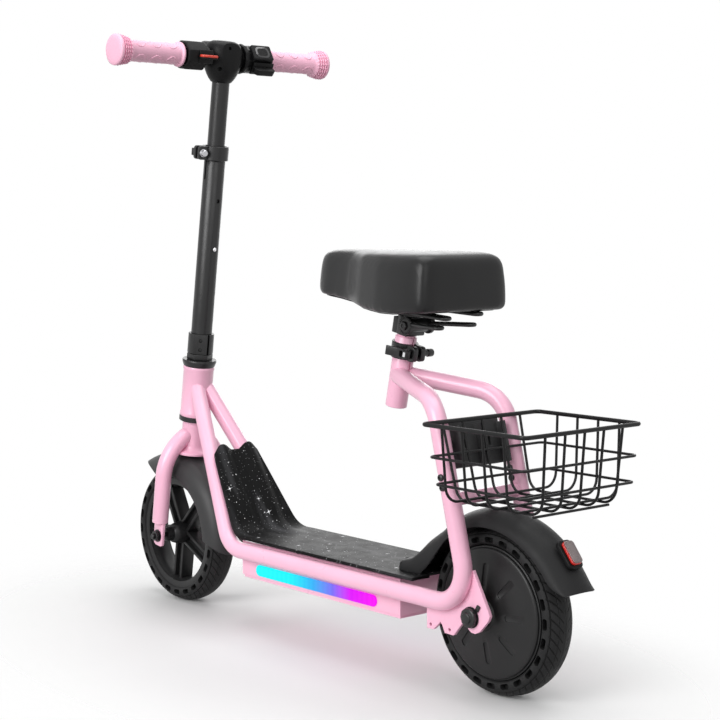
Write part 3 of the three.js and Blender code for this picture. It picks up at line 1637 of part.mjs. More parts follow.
piece(scooter, "led_strip_left", ledStrip(1), material(cyan, 0.3, 0));
piece(scooter, "led_strip_right", ledStrip(-1), material(cyan, 0.3, 0));
piece(scooter, "deck_board", deckBoard(), plastic());
piece(scooter, "rear_fender", rearFender(), plastic());
piece(scooter, "tail_light_base", tailLightBase(), plastic());
piece(scooter, "tail_light_lens", tailLightLens(), material(red, 0.2, 0));
piece(scooter, "basket", basket(), coated());
piece(scooter, "basket_bracket", basketBracket(), plastic());

const rearWheel = new THREE.Group();
rearWheel.position.z = wheelRadius;
scooter.add(rearWheel);
const dropoutOuter = dropoutInner + dropoutThickness;
const rearNut = (side) => axleNut(side, dropoutOuter + fit, rearNutOd / 2, rearNutThickness,
  rearNutCapOd / 2, rearNutCapLength, rearAxleOd / 2 + fit,
  dropoutOuter + fit + rearNutThickness + rearNutCapLength - rearAxleReach - fit);
piece(rearWheel, "rear_axle", rodY(rearAxleOd / 2, -rearAxleReach, rearAxleReach, tubeSides), metal());
piece(rearWheel, "rear_axle_nut_left", rearNut(1), coated());
piece(rearWheel, "rear_axle_nut_right", rearNut(-1), coated());
piece(rearWheel, "motor_stator", ringY(rearAxleOd / 2 + fit, statorRadius, -statorWidth / 2,
  statorWidth / 2), metal());
piece(rearWheel, "hub_motor_shell", motorShell(), coated());
piece(rearWheel, "hub_motor_cover", motorCover(), coated());
piece(rearWheel, "rear_tyre", tyre(), rubber());

piece(steering, "fork", fork(), paint());
piece(steering, "front_fender", frontFender(), plastic());
piece(steering, "headset_locknut", cut(
  rodZ(locknutFlats / 2 / Math.cos(Math.PI / nutSides), locknutBottom, locknutBottom + locknutHeight,
    nutSides),
  rodZ(steererRadius + fit, locknutBottom - overrun, locknutBottom + locknutHeight + overrun)), coated());
piece(steering, "front_axle", rodY(frontAxleOd / 2, -frontAxleReach, frontAxleReach, tubeSides), metal());
const tabOuter = forkLegSpread + forkTabThickness / 2;
const frontNut = (side) => {
  const from = side * (tabOuter + fit);
  const to = side * (tabOuter + fit + frontNutThickness);
  return ringY(frontAxleOd / 2 + fit, frontNutOd / 2, Math.min(from, to), Math.max(from, to), tubeSides);
};
piece(steering, "front_axle_nut_left", frontNut(1), coated());
piece(steering, "front_axle_nut_right", frontNut(-1), coated());
piece(steering, "front_rim", frontRim(), coated());
piece(steering, "front_tyre", tyre().rotateY(rake), rubber());
piece(steering, "stem_base_clamp", baseClamp(), coated());
piece(steering, "stem_tube_outer", stemTube(), coated());
piece(steering, "stem_clamp_collar", stemCollar(), coated());
piece(steering, "stem_clamp_bolt", stemBolt(), metal());
piece(steering, "stem_clamp_lever", stemLever(), coated());
piece(steering, "height_button", heightButton(), metal());
piece(steering, "stem_tube_inner", innerTube(), coated());
piece(steering, "stem_head", stemHead(), plastic());
piece(steering, "headlight", headlight(), plastic());
piece(bar, "handlebar", handlebar(), coated());
piece(bar, "grip_left", grip(1, gripLength), material(pink, 0.6, 0));
piece(bar, "grip_right", grip(-1, rightGripLength), material(pink, 0.6, 0));
piece(bar, "brake_pod", brakePod(), plastic());
piece(bar, "brake_lever", thumbLever(1, podRadius / Math.cos(podTurn), brakeLeverFrom,
  brakeLeverTo, leverThickness, 0), material(red, 0.4, 0));
piece(bar, "display_pod", displayPod(), plastic());
piece(bar, "throttle_lever", thumbLever(-1, displayPodRadius, throttleFrom, throttleTo,
  throttleThickness, throttleDropDegrees), plastic());
piece(bar, "power_button", powerButton(), material(red, 0.4, 0));

piece(seatGroup, "seat_post", seatPost(), paint());
piece(seatGroup, "saddle_clamp", saddleClamp(), coated());
piece(scooter, "saddle_springs", saddleSprings(), coated());
piece(scooter, "saddle_base", saddleBase(), plastic());
piece(scooter, "saddle_cushion", saddleCushion(), material(softBlack, 0.6, 0));

scooter.updateMatrixWorld(true);
const reach = new THREE.Box3().setFromObject(scooter, true);
scooter.position.x = -(reach.min.x + reach.max.x) / 2;
scooter.updateMatrixWorld(true);

export default scooter;
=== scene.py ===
import json
import math

import bpy
from mathutils import Matrix, Vector

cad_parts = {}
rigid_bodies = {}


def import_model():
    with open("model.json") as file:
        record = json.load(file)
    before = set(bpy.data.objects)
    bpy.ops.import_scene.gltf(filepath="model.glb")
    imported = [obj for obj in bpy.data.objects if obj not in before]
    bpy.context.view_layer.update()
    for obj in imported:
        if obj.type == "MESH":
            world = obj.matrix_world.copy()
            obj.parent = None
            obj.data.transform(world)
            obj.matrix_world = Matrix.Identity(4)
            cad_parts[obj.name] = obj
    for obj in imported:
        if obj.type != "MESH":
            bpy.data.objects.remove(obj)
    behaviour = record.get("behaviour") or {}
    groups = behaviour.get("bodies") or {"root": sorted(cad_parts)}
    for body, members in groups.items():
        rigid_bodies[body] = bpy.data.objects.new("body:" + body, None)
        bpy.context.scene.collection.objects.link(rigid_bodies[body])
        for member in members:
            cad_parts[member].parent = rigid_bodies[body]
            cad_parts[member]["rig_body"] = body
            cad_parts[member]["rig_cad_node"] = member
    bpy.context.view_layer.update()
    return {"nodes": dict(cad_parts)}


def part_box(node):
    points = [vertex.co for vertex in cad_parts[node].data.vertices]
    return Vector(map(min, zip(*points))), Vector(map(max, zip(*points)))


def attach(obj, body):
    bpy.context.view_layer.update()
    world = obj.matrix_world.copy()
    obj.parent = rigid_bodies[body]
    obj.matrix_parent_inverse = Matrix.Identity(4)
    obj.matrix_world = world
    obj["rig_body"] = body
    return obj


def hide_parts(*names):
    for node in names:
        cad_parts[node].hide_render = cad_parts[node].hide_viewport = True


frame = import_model()
mm = 0.001

# Places are in millimetres from the ground under the rear axle, +X forward, +Y left, +Z up
scooter = {
    "wheelBase": 821,
    "wheelRadius": 127,
    "rake": math.radians(8.28),
    "seatTube": (237.4, 0, 414.2),
    "seatLean": math.radians(11.86),
    "barUp": 874.6,
}

rearLow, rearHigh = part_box("rear_tyre")
axleX = (rearLow.x + rearHigh.x) / 2


def at(x, y, z):
    return Vector((axleX + x * mm, y * mm, z * mm))


def shift(x, y, z):
    return Matrix.Translation((x * mm, y * mm, z * mm))


def turnBy(angle, axis):
    return Matrix.Rotation(angle, 4, axis)


rearAxle = Matrix.Translation(at(0, 0, scooter["wheelRadius"]))
frontAxle = Matrix.Translation(at(scooter["wheelBase"], 0, scooter["wheelRadius"]))
steerLine = frontAxle @ turnBy(-scooter["rake"], "Y")
seatLine = Matrix.Translation(at(*scooter["seatTube"])) @ turnBy(-scooter["seatLean"], "Y")
barLine = steerLine @ shift(0, 0, scooter["barUp"])
bodyLine = Matrix.Translation(at(0, 0, 0))


# Small helpers for drawing pieces

def clearSelection():
    if bpy.context.object and bpy.context.object.mode != "OBJECT":
        bpy.ops.object.mode_set(mode="OBJECT")
    bpy.ops.object.select_all(action="DESELECT")


def pick(*pieces):
    clearSelection()
    for piece in pieces:
        piece.select_set(True)
    bpy.context.view_layer.objects.active = pieces[0]


def closeMesh(piece):
    pick(piece)
    bpy.ops.object.mode_set(mode="EDIT")
    bpy.ops.mesh.select_all(action="SELECT")
    bpy.ops.mesh.remove_doubles(threshold=0.00001)
    bpy.ops.mesh.normals_make_consistent(inside=False)
    bpy.ops.object.mode_set(mode="OBJECT")
    return piece


def drawLine(name, points):
    # one vertex, extruded from point to point; edit mode stays on
    clearSelection()
    bpy.ops.mesh.primitive_plane_add(size=mm)
    piece = bpy.context.object
    piece.name = name
    bpy.ops.object.mode_set(mode="EDIT")
    bpy.ops.mesh.select_all(action="SELECT")
    bpy.ops.mesh.merge(type="CENTER")
    bpy.ops.transform.translate(value=points[0])
    for here, there in zip(points, points[1:]):
        step = Vector(there) - Vector(here)
        bpy.ops.mesh.extrude_region_move(TRANSFORM_OT_translate={"value": step})
    bpy.ops.mesh.select_all(action="SELECT")
    return piece


def spun(name, profile, axis="Z", steps=96):
    # profile points are (radius, place along the axis)
    if axis == "Z":
        points = [(r * mm, 0, h * mm) for r, h in profile]
    else:
        points = [(r * mm, h * mm, 0) for r, h in profile]
    piece = drawLine(name, points)
    line = (0, 0, 1) if axis == "Z" else (0, 1, 0)
    bpy.ops.mesh.spin(steps=steps, angle=math.tau, center=(0, 0, 0), axis=line)
    return closeMesh(piece)


def turned(name, ring, axis="Z", steps=96):
    # a closed ring of profile points, so that the piece keeps its bore
    return spun(name, ring + ring[:1], axis, steps)


def rod(name, radius, edge, low, high, axis="Z", steps=24):
    return spun(name, [(0, low), (radius - edge, low), (radius, low + edge), (radius, high - edge),
                       (radius - edge, high), (0, high)], axis, steps)


def bothWays(half):
    # the far half of a profile that is the same on both sides of its middle
    return half + [(r, -y) for r, y in reversed(half[:-1])]


def oblong(left, low, right, high):
    return [(left, low), (right, low), (right, high), (left, high)]


def slab(name, outline, low, high, normal="Y"):
    # a plate with this outline, from low to high along its normal
    if normal == "Y":
        points = [(a * mm, low * mm, b * mm) for a, b in outline]
        step = (0, (high - low) * mm, 0)
    elif normal == "Z":
        points = [(a * mm, b * mm, low * mm) for a, b in outline]
        step = (0, 0, (high - low) * mm)
    else:
        points = [(low * mm, a * mm, b * mm) for a, b in outline]
        step = ((high - low) * mm, 0, 0)
    piece = drawLine(name, points)
    bpy.ops.mesh.edge_face_add()
    bpy.ops.mesh.extrude_region_move(TRANSFORM_OT_translate={"value": step})
    return closeMesh(piece)


def rounded(corners, radius, steps=6, closed=False):
    # the same corners with an arc in place of each; radius is one value or one for each corner
    points = [Vector(corner) for corner in corners]
    radii = radius if isinstance(radius, (list, tuple)) else [radius] * len(points)
    line = []
    for i, corner in enumerate(points):
        before = points[i - 1] - corner
        after = points[(i + 1) % len(points)] - corner
        end = not closed and i in (0, len(points) - 1)
        if end or radii[i] <= 0 or before.angle(after) > math.pi - 0.02:
            line.append(corner)
            continue
        half = before.angle(after) / 2
        reach = min(radii[i] / math.tan(half), before.length * 0.49, after.length * 0.49)
        middle = (before.normalized() + after.normalized()).normalized()
        centre = corner + middle * (reach / math.cos(half))
        start = corner + before.normalized() * reach - centre
        finish = corner + after.normalized() * reach - centre
        line += [centre + start.slerp(finish, step / steps) * start.length for step in range(steps + 1)]
    return line


def pad(name, box, corner, low, high, normal="Y", steps=4):
    # an oblong plate with rounded corners
    return slab(name, rounded(oblong(*box), corner, steps, True), low, high, normal)


def tube(name, points, radius, closed=False, sides=28):
    # a round bar along points in metres
    clearSelection()
    bpy.ops.curve.primitive_bezier_curve_add()
    piece = bpy.context.object
    piece.name = name
    curve = piece.data
    curve.splines.clear()
    spline = curve.splines.new("POLY")
    spline.points.add(len(points) - 1)
    for place, point in zip(spline.points, points):
        place.co = (*point, 1)
    spline.use_cyclic_u = closed
    curve.bevel_depth = radius * mm
    curve.bevel_resolution = (sides - 4) // 2
    curve.use_fill_caps = not closed
    pick(piece)
    bpy.ops.object.convert(target="MESH")
    return closeMesh(bpy.context.object)


def joined(name, *pieces):
    pick(*pieces)
    if len(pieces) > 1:
        bpy.ops.object.join()
    whole = bpy.context.object
    whole.name = name
    return whole


def copied(piece, matrix, name=None):
    pick(piece)
    bpy.ops.object.duplicate()
    copy = bpy.context.object
    copy.matrix_world = matrix @ copy.matrix_world
    bpy.ops.object.transform_apply(location=True, rotation=True, scale=True)
    if matrix.determinant() < 0:
        closeMesh(copy)
    if name:
        copy.name = name
    return copy


def placed(piece, matrix):
    pick(piece)
    piece.matrix_world = matrix @ piece.matrix_world
    bpy.ops.object.transform_apply(location=True, rotation=True, scale=True)
    return piece


def modified(piece, kind, **settings):
    modifier = piece.modifiers.new(kind, kind)
    for setting, value in settings.items():
        setattr(modifier, setting, value)
    pick(piece)
    bpy.ops.object.modifier_apply(modifier=modifier.name)
    return piece


def cutAway(piece, tool):
    modified(piece, "BOOLEAN", operation="DIFFERENCE", solver="EXACT", object=tool)
    bpy.data.objects.remove(tool)
    return piece


def bevelled(piece, width, segments=3, angle=30):
    return modified(piece, "BEVEL", width=width * mm, segments=segments, limit_method="ANGLE",
                    angle_limit=math.radians(angle))


def refined(node, name, width, segments=3, angle=30):
    # a merged copy of a CAD node with its corners rounded
    pick(frame["nodes"][node])
    bpy.ops.object.duplicate()
    piece = bpy.context.object
    piece.name = name
    piece.parent = None
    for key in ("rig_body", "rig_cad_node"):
        del piece[key]
    piece.data.materials.clear()
    bpy.ops.object.mode_set(mode="EDIT")
    bpy.ops.mesh.select_all(action="SELECT")
    bpy.ops.mesh.customdata_custom_splitnormals_clear()
    bpy.ops.mesh.remove_doubles(threshold=0.00002)
    bpy.ops.mesh.dissolve_limited(angle_limit=math.radians(2))
    bpy.ops.object.mode_set(mode="OBJECT")
    return bevelled(piece, width, segments, angle) if width else piece


def dress(piece, body, finish, *nodes, smooth=35):
    # the last step of every piece: smooth faces, finish, body, and what it stands for
    pick(piece)
    bpy.ops.object.shade_smooth_by_angle(angle=math.radians(smooth))
    piece.data.materials.clear()
    piece.data.materials.append(finishes[finish]["material"])
    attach(piece, body)
    if nodes:
        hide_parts(*nodes)
    return piece


# Finishes: colours are linear

finishes = {
    "framePaint": {"slot": "frame_paint", "colour": (0.95, 0.515, 0.675), "shade": 0.95,
                   "roughness": (0.27, 0.36), "grain": 900, "depth": 0.04, "coat": 0.25},
    "stemCoat": {"slot": "black_coat", "colour": (0.01, 0.01, 0.0105), "shade": 0.8, "roughness": (0.28, 0.4),
                 "grain": 1300, "depth": 0.12, "coat": 0, "shine": 0.42},
    "wireCoat": {"slot": "black_coat", "colour": (0.008, 0.008, 0.0084), "shade": 0.8,
                 "roughness": (0.3, 0.42), "grain": 1100, "depth": 0.1, "coat": 0, "shine": 0.2},
    "fenderPlastic": {"slot": "black_plastic", "colour": (0.022, 0.022, 0.0226), "shade": 0.85,
                      "roughness": (0.42, 0.52), "grain": 2200, "depth": 0.18, "coat": 0, "shine": 0.12},
    # the same black plastic with its colour raised: a painted sheen for the reflection on the front fender,
    # which the basket bracket shares
    "blackPlasticPaintedSheen": {"slot": "black_plastic", "colour": (0.034, 0.034, 0.035), "shade": 0.85,
                     "roughness": (0.4, 0.48), "grain": 2200, "depth": 0.14, "coat": 0, "shine": 0.32},
    "podPlastic": {"slot": "black_plastic", "colour": (0.006, 0.006, 0.0063), "shade": 0.8,
                   "roughness": (0.36, 0.5), "grain": 2600, "depth": 0.16, "coat": 0, "shine": 0.13},
    "gripRubber": {"slot": "grip_rubber", "colour": (0.94, 0.51, 0.66), "shade": 0.94,
                   "roughness": (0.42, 0.52), "grain": 2400, "depth": 0.12, "coat": 0},
    "rimCast": {"slot": "rim_alloy", "colour": (0.012, 0.012, 0.0124), "shade": 0.8,
                "roughness": (0.34, 0.44), "grain": 1600, "depth": 0.12, "coat": 0, "shine": 0.3},
    "saddleSkin": {"slot": "saddle_cover", "colour": (0.012, 0.012, 0.0124), "shade": 0.85,
                   "roughness": (0.3, 0.36), "grain": 700, "depth": 0.07, "coat": 0, "shine": 0.24},
    "zincSteel": {"slot": "bare_steel", "colour": (0.52, 0.52, 0.54), "shade": 0.85,
                  "roughness": (0.22, 0.35), "grain": 1500, "depth": 0.08, "coat": 0, "metal": 1},
    "brightSteel": {"slot": "bright_steel", "colour": (0.78, 0.78, 0.8), "shade": 0.92,
                    "roughness": (0.08, 0.16), "grain": 900, "depth": 0.02, "coat": 0, "metal": 1},
    "redPlastic": {"slot": "red_plastic", "colour": (0.62, 0.035, 0.012), "shade": 0.9,
                   "roughness": (0.25, 0.35), "grain": 1800, "depth": 0.06, "coat": 0.2},
    "packWrap": {"slot": "battery_wrap", "colour": (0.01, 0.05, 0.2), "shade": 0.8, "roughness": (0.3, 0.4),
                 "grain": 300, "depth": 0.1, "coat": 0.3},
}


def startMaterial(name):
    material = bpy.data.materials.new(name)
    material.use_nodes = True
    shader = material.node_tree.nodes["Principled BSDF"]
    return material, shader, added(shader, "TexCoord").outputs["Object"]


def feed(node, inputs):
    # sockets are linked to the node's inputs, numbers and colours are set on them
    for name, value in inputs.items():
        socket = node.inputs[name]
        if isinstance(value, bpy.types.NodeSocket):
            node.id_data.links.new(value, socket)
        else:
            socket.default_value = (*value, 1) if socket.type == "RGBA" else value
    return node


def added(near, kind, inputs=None, **settings):
    # a new node in the tree of a node or socket that is there already
    node = near.id_data.nodes.new("ShaderNode" + kind)
    for setting, value in settings.items():
        setattr(node, setting, value)
    return feed(node, inputs or {})


def maths(operation, *values):
    # values are sockets and numbers, with at least one socket
    near = next(value for value in values if isinstance(value, bpy.types.NodeSocket))
    return added(near, "Math", dict(enumerate(values)), operation=operation).outputs["Value"]


def splitPlace(vector):
    parts = added(vector, "SeparateXYZ", {"Vector": vector}).outputs
    return [parts[axis] for axis in "XYZ"]


def noiseAt(place, scale, detail=3):
    return added(place, "TexNoise", {"Scale": scale, "Detail": detail, "Vector": place}).outputs["Fac"]


def wavesAt(place, scale, direction="X"):
    waves = added(place, "TexWave", {"Scale": scale, "Vector": place}, bands_direction=direction)
    return waves.outputs["Fac"]


def spread(value, low, high, fromLow=0.3, fromHigh=0.7):
    inputs = {"Value": value, "From Min": fromLow, "From Max": fromHigh, "To Min": low, "To Max": high}
    return added(value, "MapRange", inputs).outputs["Result"]


def mixed(share, first, second):
    return added(share, "Mix", {"Factor": share, 6: first, 7: second}, data_type="RGBA").outputs[2]


def bumped(shader, height, strength, distance=0.0006, under=None):
    bump = added(shader, "Bump", {"Height": height, "Strength": strength, "Distance": distance})
    if under:
        feed(bump, {"Normal": under})
    feed(shader, {"Normal": bump.outputs["Normal"]})
    return bump.outputs["Normal"]


def coatFinish(name, values):
    # paint, powder coat, moulded plastic, rubber and plain metal share this build
    material, shader, place = startMaterial(name)
    clouds = spread(noiseAt(place, 14, 4), 0, 1)
    dark = tuple(part * values["shade"] for part in values["colour"])
    feed(shader, {
        "Base Color": mixed(clouds, values["colour"], dark),
        "Roughness": spread(noiseAt(place, 45, 5), *values["roughness"]),
        "Metallic": values.get("metal", 0),
        "Coat Weight": values["coat"],
        "Coat Roughness": 0.18,
        "Specular IOR Level": values.get("shine", 0.5),
    })
    bumped(shader, noiseAt(place, values["grain"], 2), values["depth"])
    values["material"] = material


for finishName, finishValues in finishes.items():
    coatFinish(finishName, finishValues)
print("finishes made")


# Camera at the photograph's angle

camera = {
    "place": (-1689.91, 1744.53, 714.87),
    "heading": -0.7168,
    "tilt": -0.0858,
    "focalPixels": 1647.43,
    "middle": (365.23, 357.17),
    "pictureWidth": 720,
}


def makeCamera(values):
    bpy.ops.object.camera_add(location=at(*values["place"]))
    eye = bpy.context.object
    eye.name = "studioCamera"
    flat = math.cos(values["tilt"])
    look = Vector((flat * math.cos(values["heading"]), flat * math.sin(values["heading"]),
                   math.sin(values["tilt"])))
    eye.rotation_euler = look.to_track_quat("-Z", "Y").to_euler()
    width = values["pictureWidth"]
    eye.data.sensor_width = 36
    eye.data.lens = values["focalPixels"] / width * 36
    eye.data.shift_x = (width / 2 - values["middle"][0]) / width
    eye.data.shift_y = (values["middle"][1] - width / 2) / width
    eye.data.clip_start = 0.1
    eye.data.clip_end = 60
    bpy.context.scene.camera = eye


studio = {
    "worldLight": 0.27,
    "backdrop": 1.0,
    "floorSize": 40,
    "floorColour": 0.73,
    "floorPatches": 0.985,
    "floorMiddle": (400, 40, 0),
    "floorReach": (1000, 620, 1000),
    "floorFade": (0.34, 1.0),
    "key": {"place": (0, 3000, 1700), "size": 2.2, "power": 88},
    "top": {"place": (300, -200, 3000), "size": 3.0, "power": 58},
    "side": {"place": (-2600, 900, 1900), "size": 2.2, "power": 17},
    "back": {"place": (2600, -2300, 1300), "size": 2.4, "power": 26},
    "lampAim": (400, 0, 450),
}


def makeLamp(name, values, aimAt):
    bpy.ops.object.light_add(type="AREA", location=at(*values["place"]))
    lamp = bpy.context.object
    lamp.name = name
    lamp.data.shape = "DISK"
    lamp.data.size = values["size"]
    lamp.data.energy = values["power"]
    aim = at(*aimAt) - lamp.location
    lamp.rotation_euler = aim.to_track_quat("-Z", "Y").to_euler()


def makeStudio(values):
    world = bpy.data.worlds.new("studioWorld")
    bpy.context.scene.world = world
    world.use_nodes = True
    background = world.node_tree.nodes["Background"]
    # white where it is seen straight, through glass or as a reflection, dimmer as a lamp
    path = added(background, "LightPath").outputs
    seen = maths("MAXIMUM", path["Is Camera Ray"], path["Is Transmission Ray"])
    mirrored = maths("MAXIMUM", seen, path["Is Glossy Ray"])
    strength = spread(mirrored, values["worldLight"], values["backdrop"], 0, 1)
    feed(background, {"Color": (1, 1, 1), "Strength": strength})
    for name in ("key", "top", "side", "back"):
        makeLamp(name + "Lamp", values[name], values["lampAim"])
    bpy.context.object.visible_camera = False
    clearSelection()
    bpy.ops.mesh.primitive_plane_add(size=values["floorSize"], location=(0, 0, 0))
    floor = bpy.context.object
    floor.name = "studioFloor"
    material, shader, place = startMaterial("floorPaint")
    tone = values["floorColour"]
    colour = mixed(noiseAt(place, 0.6, 2), (tone,) * 3, (tone * values["floorPatches"],) * 3)
    feed(shader, {"Base Color": colour, "Roughness": 0.7})
    # away from the scooter the floor gives way to the white around it
    reach = Vector(values["floorReach"]) * mm
    middle = {"Vector": place, "Location": at(*values["floorMiddle"]), "Scale": reach}
    around = added(place, "Mapping", middle, vector_type="TEXTURE").outputs["Vector"]
    distance = added(place, "VectorMath", {0: around}, operation="LENGTH").outputs["Value"]
    near, far = values["floorFade"]
    fade = added(place, "MapRange", {"Value": distance, "From Min": near, "From Max": far},
                 interpolation_type="SMOOTHERSTEP").outputs["Result"]
    clear = added(place, "BsdfTransparent").outputs["BSDF"]
    blend = added(place, "MixShader", {0: fade, 1: shader.outputs["BSDF"], 2: clear}).outputs["Shader"]
    feed(material.node_tree.nodes["Material Output"], {"Surface": blend})
    floor.data.materials.append(material)


makeCamera(camera)
makeStudio(studio)
bpy.context.scene.view_settings.view_transform = "Standard"
print("camera and studio ready")


# Frame: two bent tubes, head tube, seat tube and the plates that hold the rear axle

frameTubes = {
    "radius": 14,
    "spread": 72.8,
    "deckHeight": 141.8,
    "stayFoot": -5.5,
    "stayLean": math.radians(14.4),
    "headEnd": (781, 5, 420.5),
    "frontBend": 585,
    "stayTop": (71.4, 440.4),
    "seatEnd": (222.8, 8, 464.3),
    "bends": [0, 64, 54, 60, 0],
    "bridgeHeight": 298,
    "bridgeHalf": 60,
    "bridgeRadius": 10,
    "weld": 1.6,
    "midGap": 0.3,
}


def stayX(height):
    # where the leaning stays are at this height
    rise = height - frameTubes["deckHeight"]
    return frameTubes["stayFoot"] + rise * math.tan(frameTubes["stayLean"])


def weldBead(name, matrix, major, minor):
    clearSelection()
    bpy.ops.mesh.primitive_torus_add(major_radius=major * mm, minor_radius=minor * mm,
                                     major_segments=64, minor_segments=10)
    bead = bpy.context.object
    bead.name = name
    return placed(bead, matrix)


def makeFrameTubes(values):
    wide, low = values["spread"], values["deckHeight"]
    stayTopX, stayTopZ = values["stayTop"]
    bar = [values["headEnd"], (values["frontBend"], wide, low), (values["stayFoot"], wide, low),
           (stayTopX, wide, stayTopZ), values["seatEnd"]]
    for side, name in ((1, "left"), (-1, "right")):
        corners = [at(x, side * y, z) for x, y, z in bar]
        route = rounded(corners, [radius * mm for radius in values["bends"]], 14)
        frameTube = tube("frameTube_" + name, route, values["radius"], sides=36)
        # near the head tube the two tubes stop short of each other at the middle plane
        near, far = sorted((side * values["midGap"] / 2, -side * 60))
        half = slab("otherHalf", oblong(600, 200, 800, 470), near, far)
        cutAway(frameTube, placed(half, bodyLine))
        dress(frameTube, "frame", "framePaint", "frame_tube_" + name)
    lean = stayX(values["bridgeHeight"])
    ends = [at(lean, side * values["bridgeHalf"], values["bridgeHeight"]) for side in (1, -1)]
    bridge = tube("stayBridge", ends, values["bridgeRadius"])
    turn = turnBy(math.radians(90), "X")
    beads = [
        weldBead("bridgeWeld", Matrix.Translation(at(lean, side * (values["bridgeHalf"] + 0.5),
                                                     values["bridgeHeight"])) @ turn,
                 values["bridgeRadius"], values["weld"])
        for side in (1, -1)
    ]
    dress(joined("stayBridge", bridge, *beads), "frame", "framePaint", "stay_bridge")


headTube = {
    "profile": [(23.5, 224), (27.6, 224), (28.4, 225.5), (28.4, 231), (27.5, 233), (27.5, 310), (28.4, 312),
                (28.4, 315.9), (27.6, 317.3), (23.5, 317.3)],
    "upperCup": [(15.4, 317.6), (28, 317.6), (29, 319.7), (30.8, 325.1), (31, 326.2), (31, 328.7),
                 (30.3, 329.9), (15.4, 329.9)],
    "lowerCup": [(15.4, 215), (28, 215), (29, 216), (29, 222.6), (28, 223.7), (15.4, 223.7)],
}


def makeHeadTube(values):
    dress(placed(turned("headTube", values["profile"]), steerLine), "frame", "framePaint", "head_tube")
    for name, node in (("upperCup", "headset_upper_cup"), ("lowerCup", "headset_lower_cup")):
        dress(placed(turned(name, values[name]), steerLine), "frame", "stemCoat", node)


seatTube = {
    "profile": [(14.7, 0), (16.6, 0), (17.3, 0.8), (17.3, 114), (16.6, 115), (14.7, 115)],
    "slot": (2.2, 60),
    "slotEnd": 5,
}


def makeSeatTube(values):
    barrel = turned("seatTube", values["profile"])
    wide, high = values["slot"]
    slot = slab("slotTool", oblong(-wide / 2, high, wide / 2, 120), -30, -4, "X")
    hole = tube("slotHole", [(-0.03, 0, high * mm), (-0.004, 0, high * mm)], values["slotEnd"] / 2)
    cutAway(barrel, slot)
    cutAway(barrel, hole)
    dress(placed(barrel, seatLine), "frame", "framePaint", "seat_tube")


dropouts = {"edge": 0.9}


def makeDropouts(values):
    for name in ("left", "right"):
        plate = refined("dropout_" + name, "dropout_" + name + "_plate", values["edge"])
        dress(plate, "frame", "framePaint", "dropout_" + name)


makeFrameTubes(frameTubes)
makeHeadTube(headTube)
makeSeatTube(seatTube)
makeDropouts(dropouts)
print("frame made")


# Wheels

tyre = {
    "profile": [(101, 0), (101, 20.5), (102.2, 23.6), (104, 25.6), (106, 26.6), (110, 27), (112.6, 26.7),
                (115.4, 25.5), (118.8, 23), (121.8, 19.6), (124.3, 15), (126, 9), (126.8, 4), (127, 0)],
    "holes": 24,
    "holeRadius": 109.6,
    "holeLength": 17.2,
    "holeHeight": 8.4,
    "holeDepth": (16.5, 30),
}


def makeTyre(name, values, wheelPlace, body, node, turn):
    piece = spun(name, bothWays(values["profile"]), "Y", 144)
    reach, high = values["holeLength"] / 2, values["holeHeight"] / 2
    tool = pad("holeTool", (-high, -reach, high, reach), high * 0.8, *values["holeDepth"])
    placed(tool, shift(values["holeRadius"], 0, 0))
    mirror = copied(tool, Matrix.Scale(-1, 4, (0, 1, 0)))
    pair = joined("holeTool", tool, mirror)
    count = values["holes"]
    tools = [copied(pair, turnBy(math.tau * (i + turn) / count, "Y")) for i in range(count)]
    bpy.data.objects.remove(pair)
    cutAway(piece, joined("holeTools", *tools))
    dress(placed(piece, wheelPlace), body, "tyreRubber", node, smooth=40)


# metres across the tyre and out from its axle, where grooves, ribs and the plain side walls begin
tread = {
    "grooves": 54,
    "slant": 9.5,
    "grooveFrom": (0.0035, 0.005),
    "wallFrom": (0.1165, 0.1185),
    "ribs": 0.0115,
}


def tyreFinish(name, wheelPlace):
    # diagonal tread grooves that follow the angle round the axle, drawn by bump and painted shade
    material, shader, place = startMaterial(name)
    middle = {"Vector": place, "Location": -wheelPlace.translation}
    centred = added(place, "Mapping", middle, vector_type="POINT").outputs["Vector"]
    x, y, z = splitPlace(centred)
    turn = maths("ARCTAN2", z, x)
    out = maths("SQRT", maths("ADD", maths("POWER", x, 2), maths("POWER", z, 2)))
    across = maths("ABSOLUTE", y)
    slant = maths("MULTIPLY", across, tread["slant"])
    phase = maths("MULTIPLY", maths("ADD", turn, slant), tread["grooves"] / math.tau)
    groove = spread(maths("PINGPONG", phase, 0.5), 0, 1, 0.05, 0.13)
    worn = maths("MAXIMUM", groove, spread(across, 1, 0, *tread["grooveFrom"]))
    wall = spread(out, 1, 0, *tread["wallFrom"])
    ridge = maths("MULTIPLY", maths("PINGPONG", maths("MULTIPLY", across, 1 / tread["ribs"]), 0.5), 2)
    channel = maths("MAXIMUM", spread(ridge, 0, 1, 0, 0.16), wall)
    height = maths("MINIMUM", maths("MAXIMUM", worn, wall), channel)
    clouds = noiseAt(place, 30, 4)
    soft = mixed(spread(clouds, 0, 1), (0.021, 0.021, 0.0215), (0.015, 0.015, 0.0154))
    # grooves and rib channels are coloured near black: painted shade in the recesses, on top of their bump
    colour = mixed(height, (0.003, 0.003, 0.003), soft)
    feed(shader, {"Base Color": colour, "Roughness": spread(clouds, 0.5, 0.62), "Specular IOR Level": 0.16})
    under = bumped(shader, noiseAt(place, 1500, 2), 0.14)
    bumped(shader, height, 0.9, 0.0016, under)
    return material


finishes["tyreRubber"] = {"slot": "tyre_rubber", "material": tyreFinish("rearTyreRubber", rearAxle)}
makeTyre("rearTyre", tyre, rearAxle, "rear_wheel", "rear_tyre", 0.1)
finishes["tyreRubber"] = {"slot": "tyre_rubber", "material": tyreFinish("frontTyreRubber", frontAxle)}
makeTyre("frontTyre", tyre, frontAxle, "front_wheel", "front_tyre", 0.2)

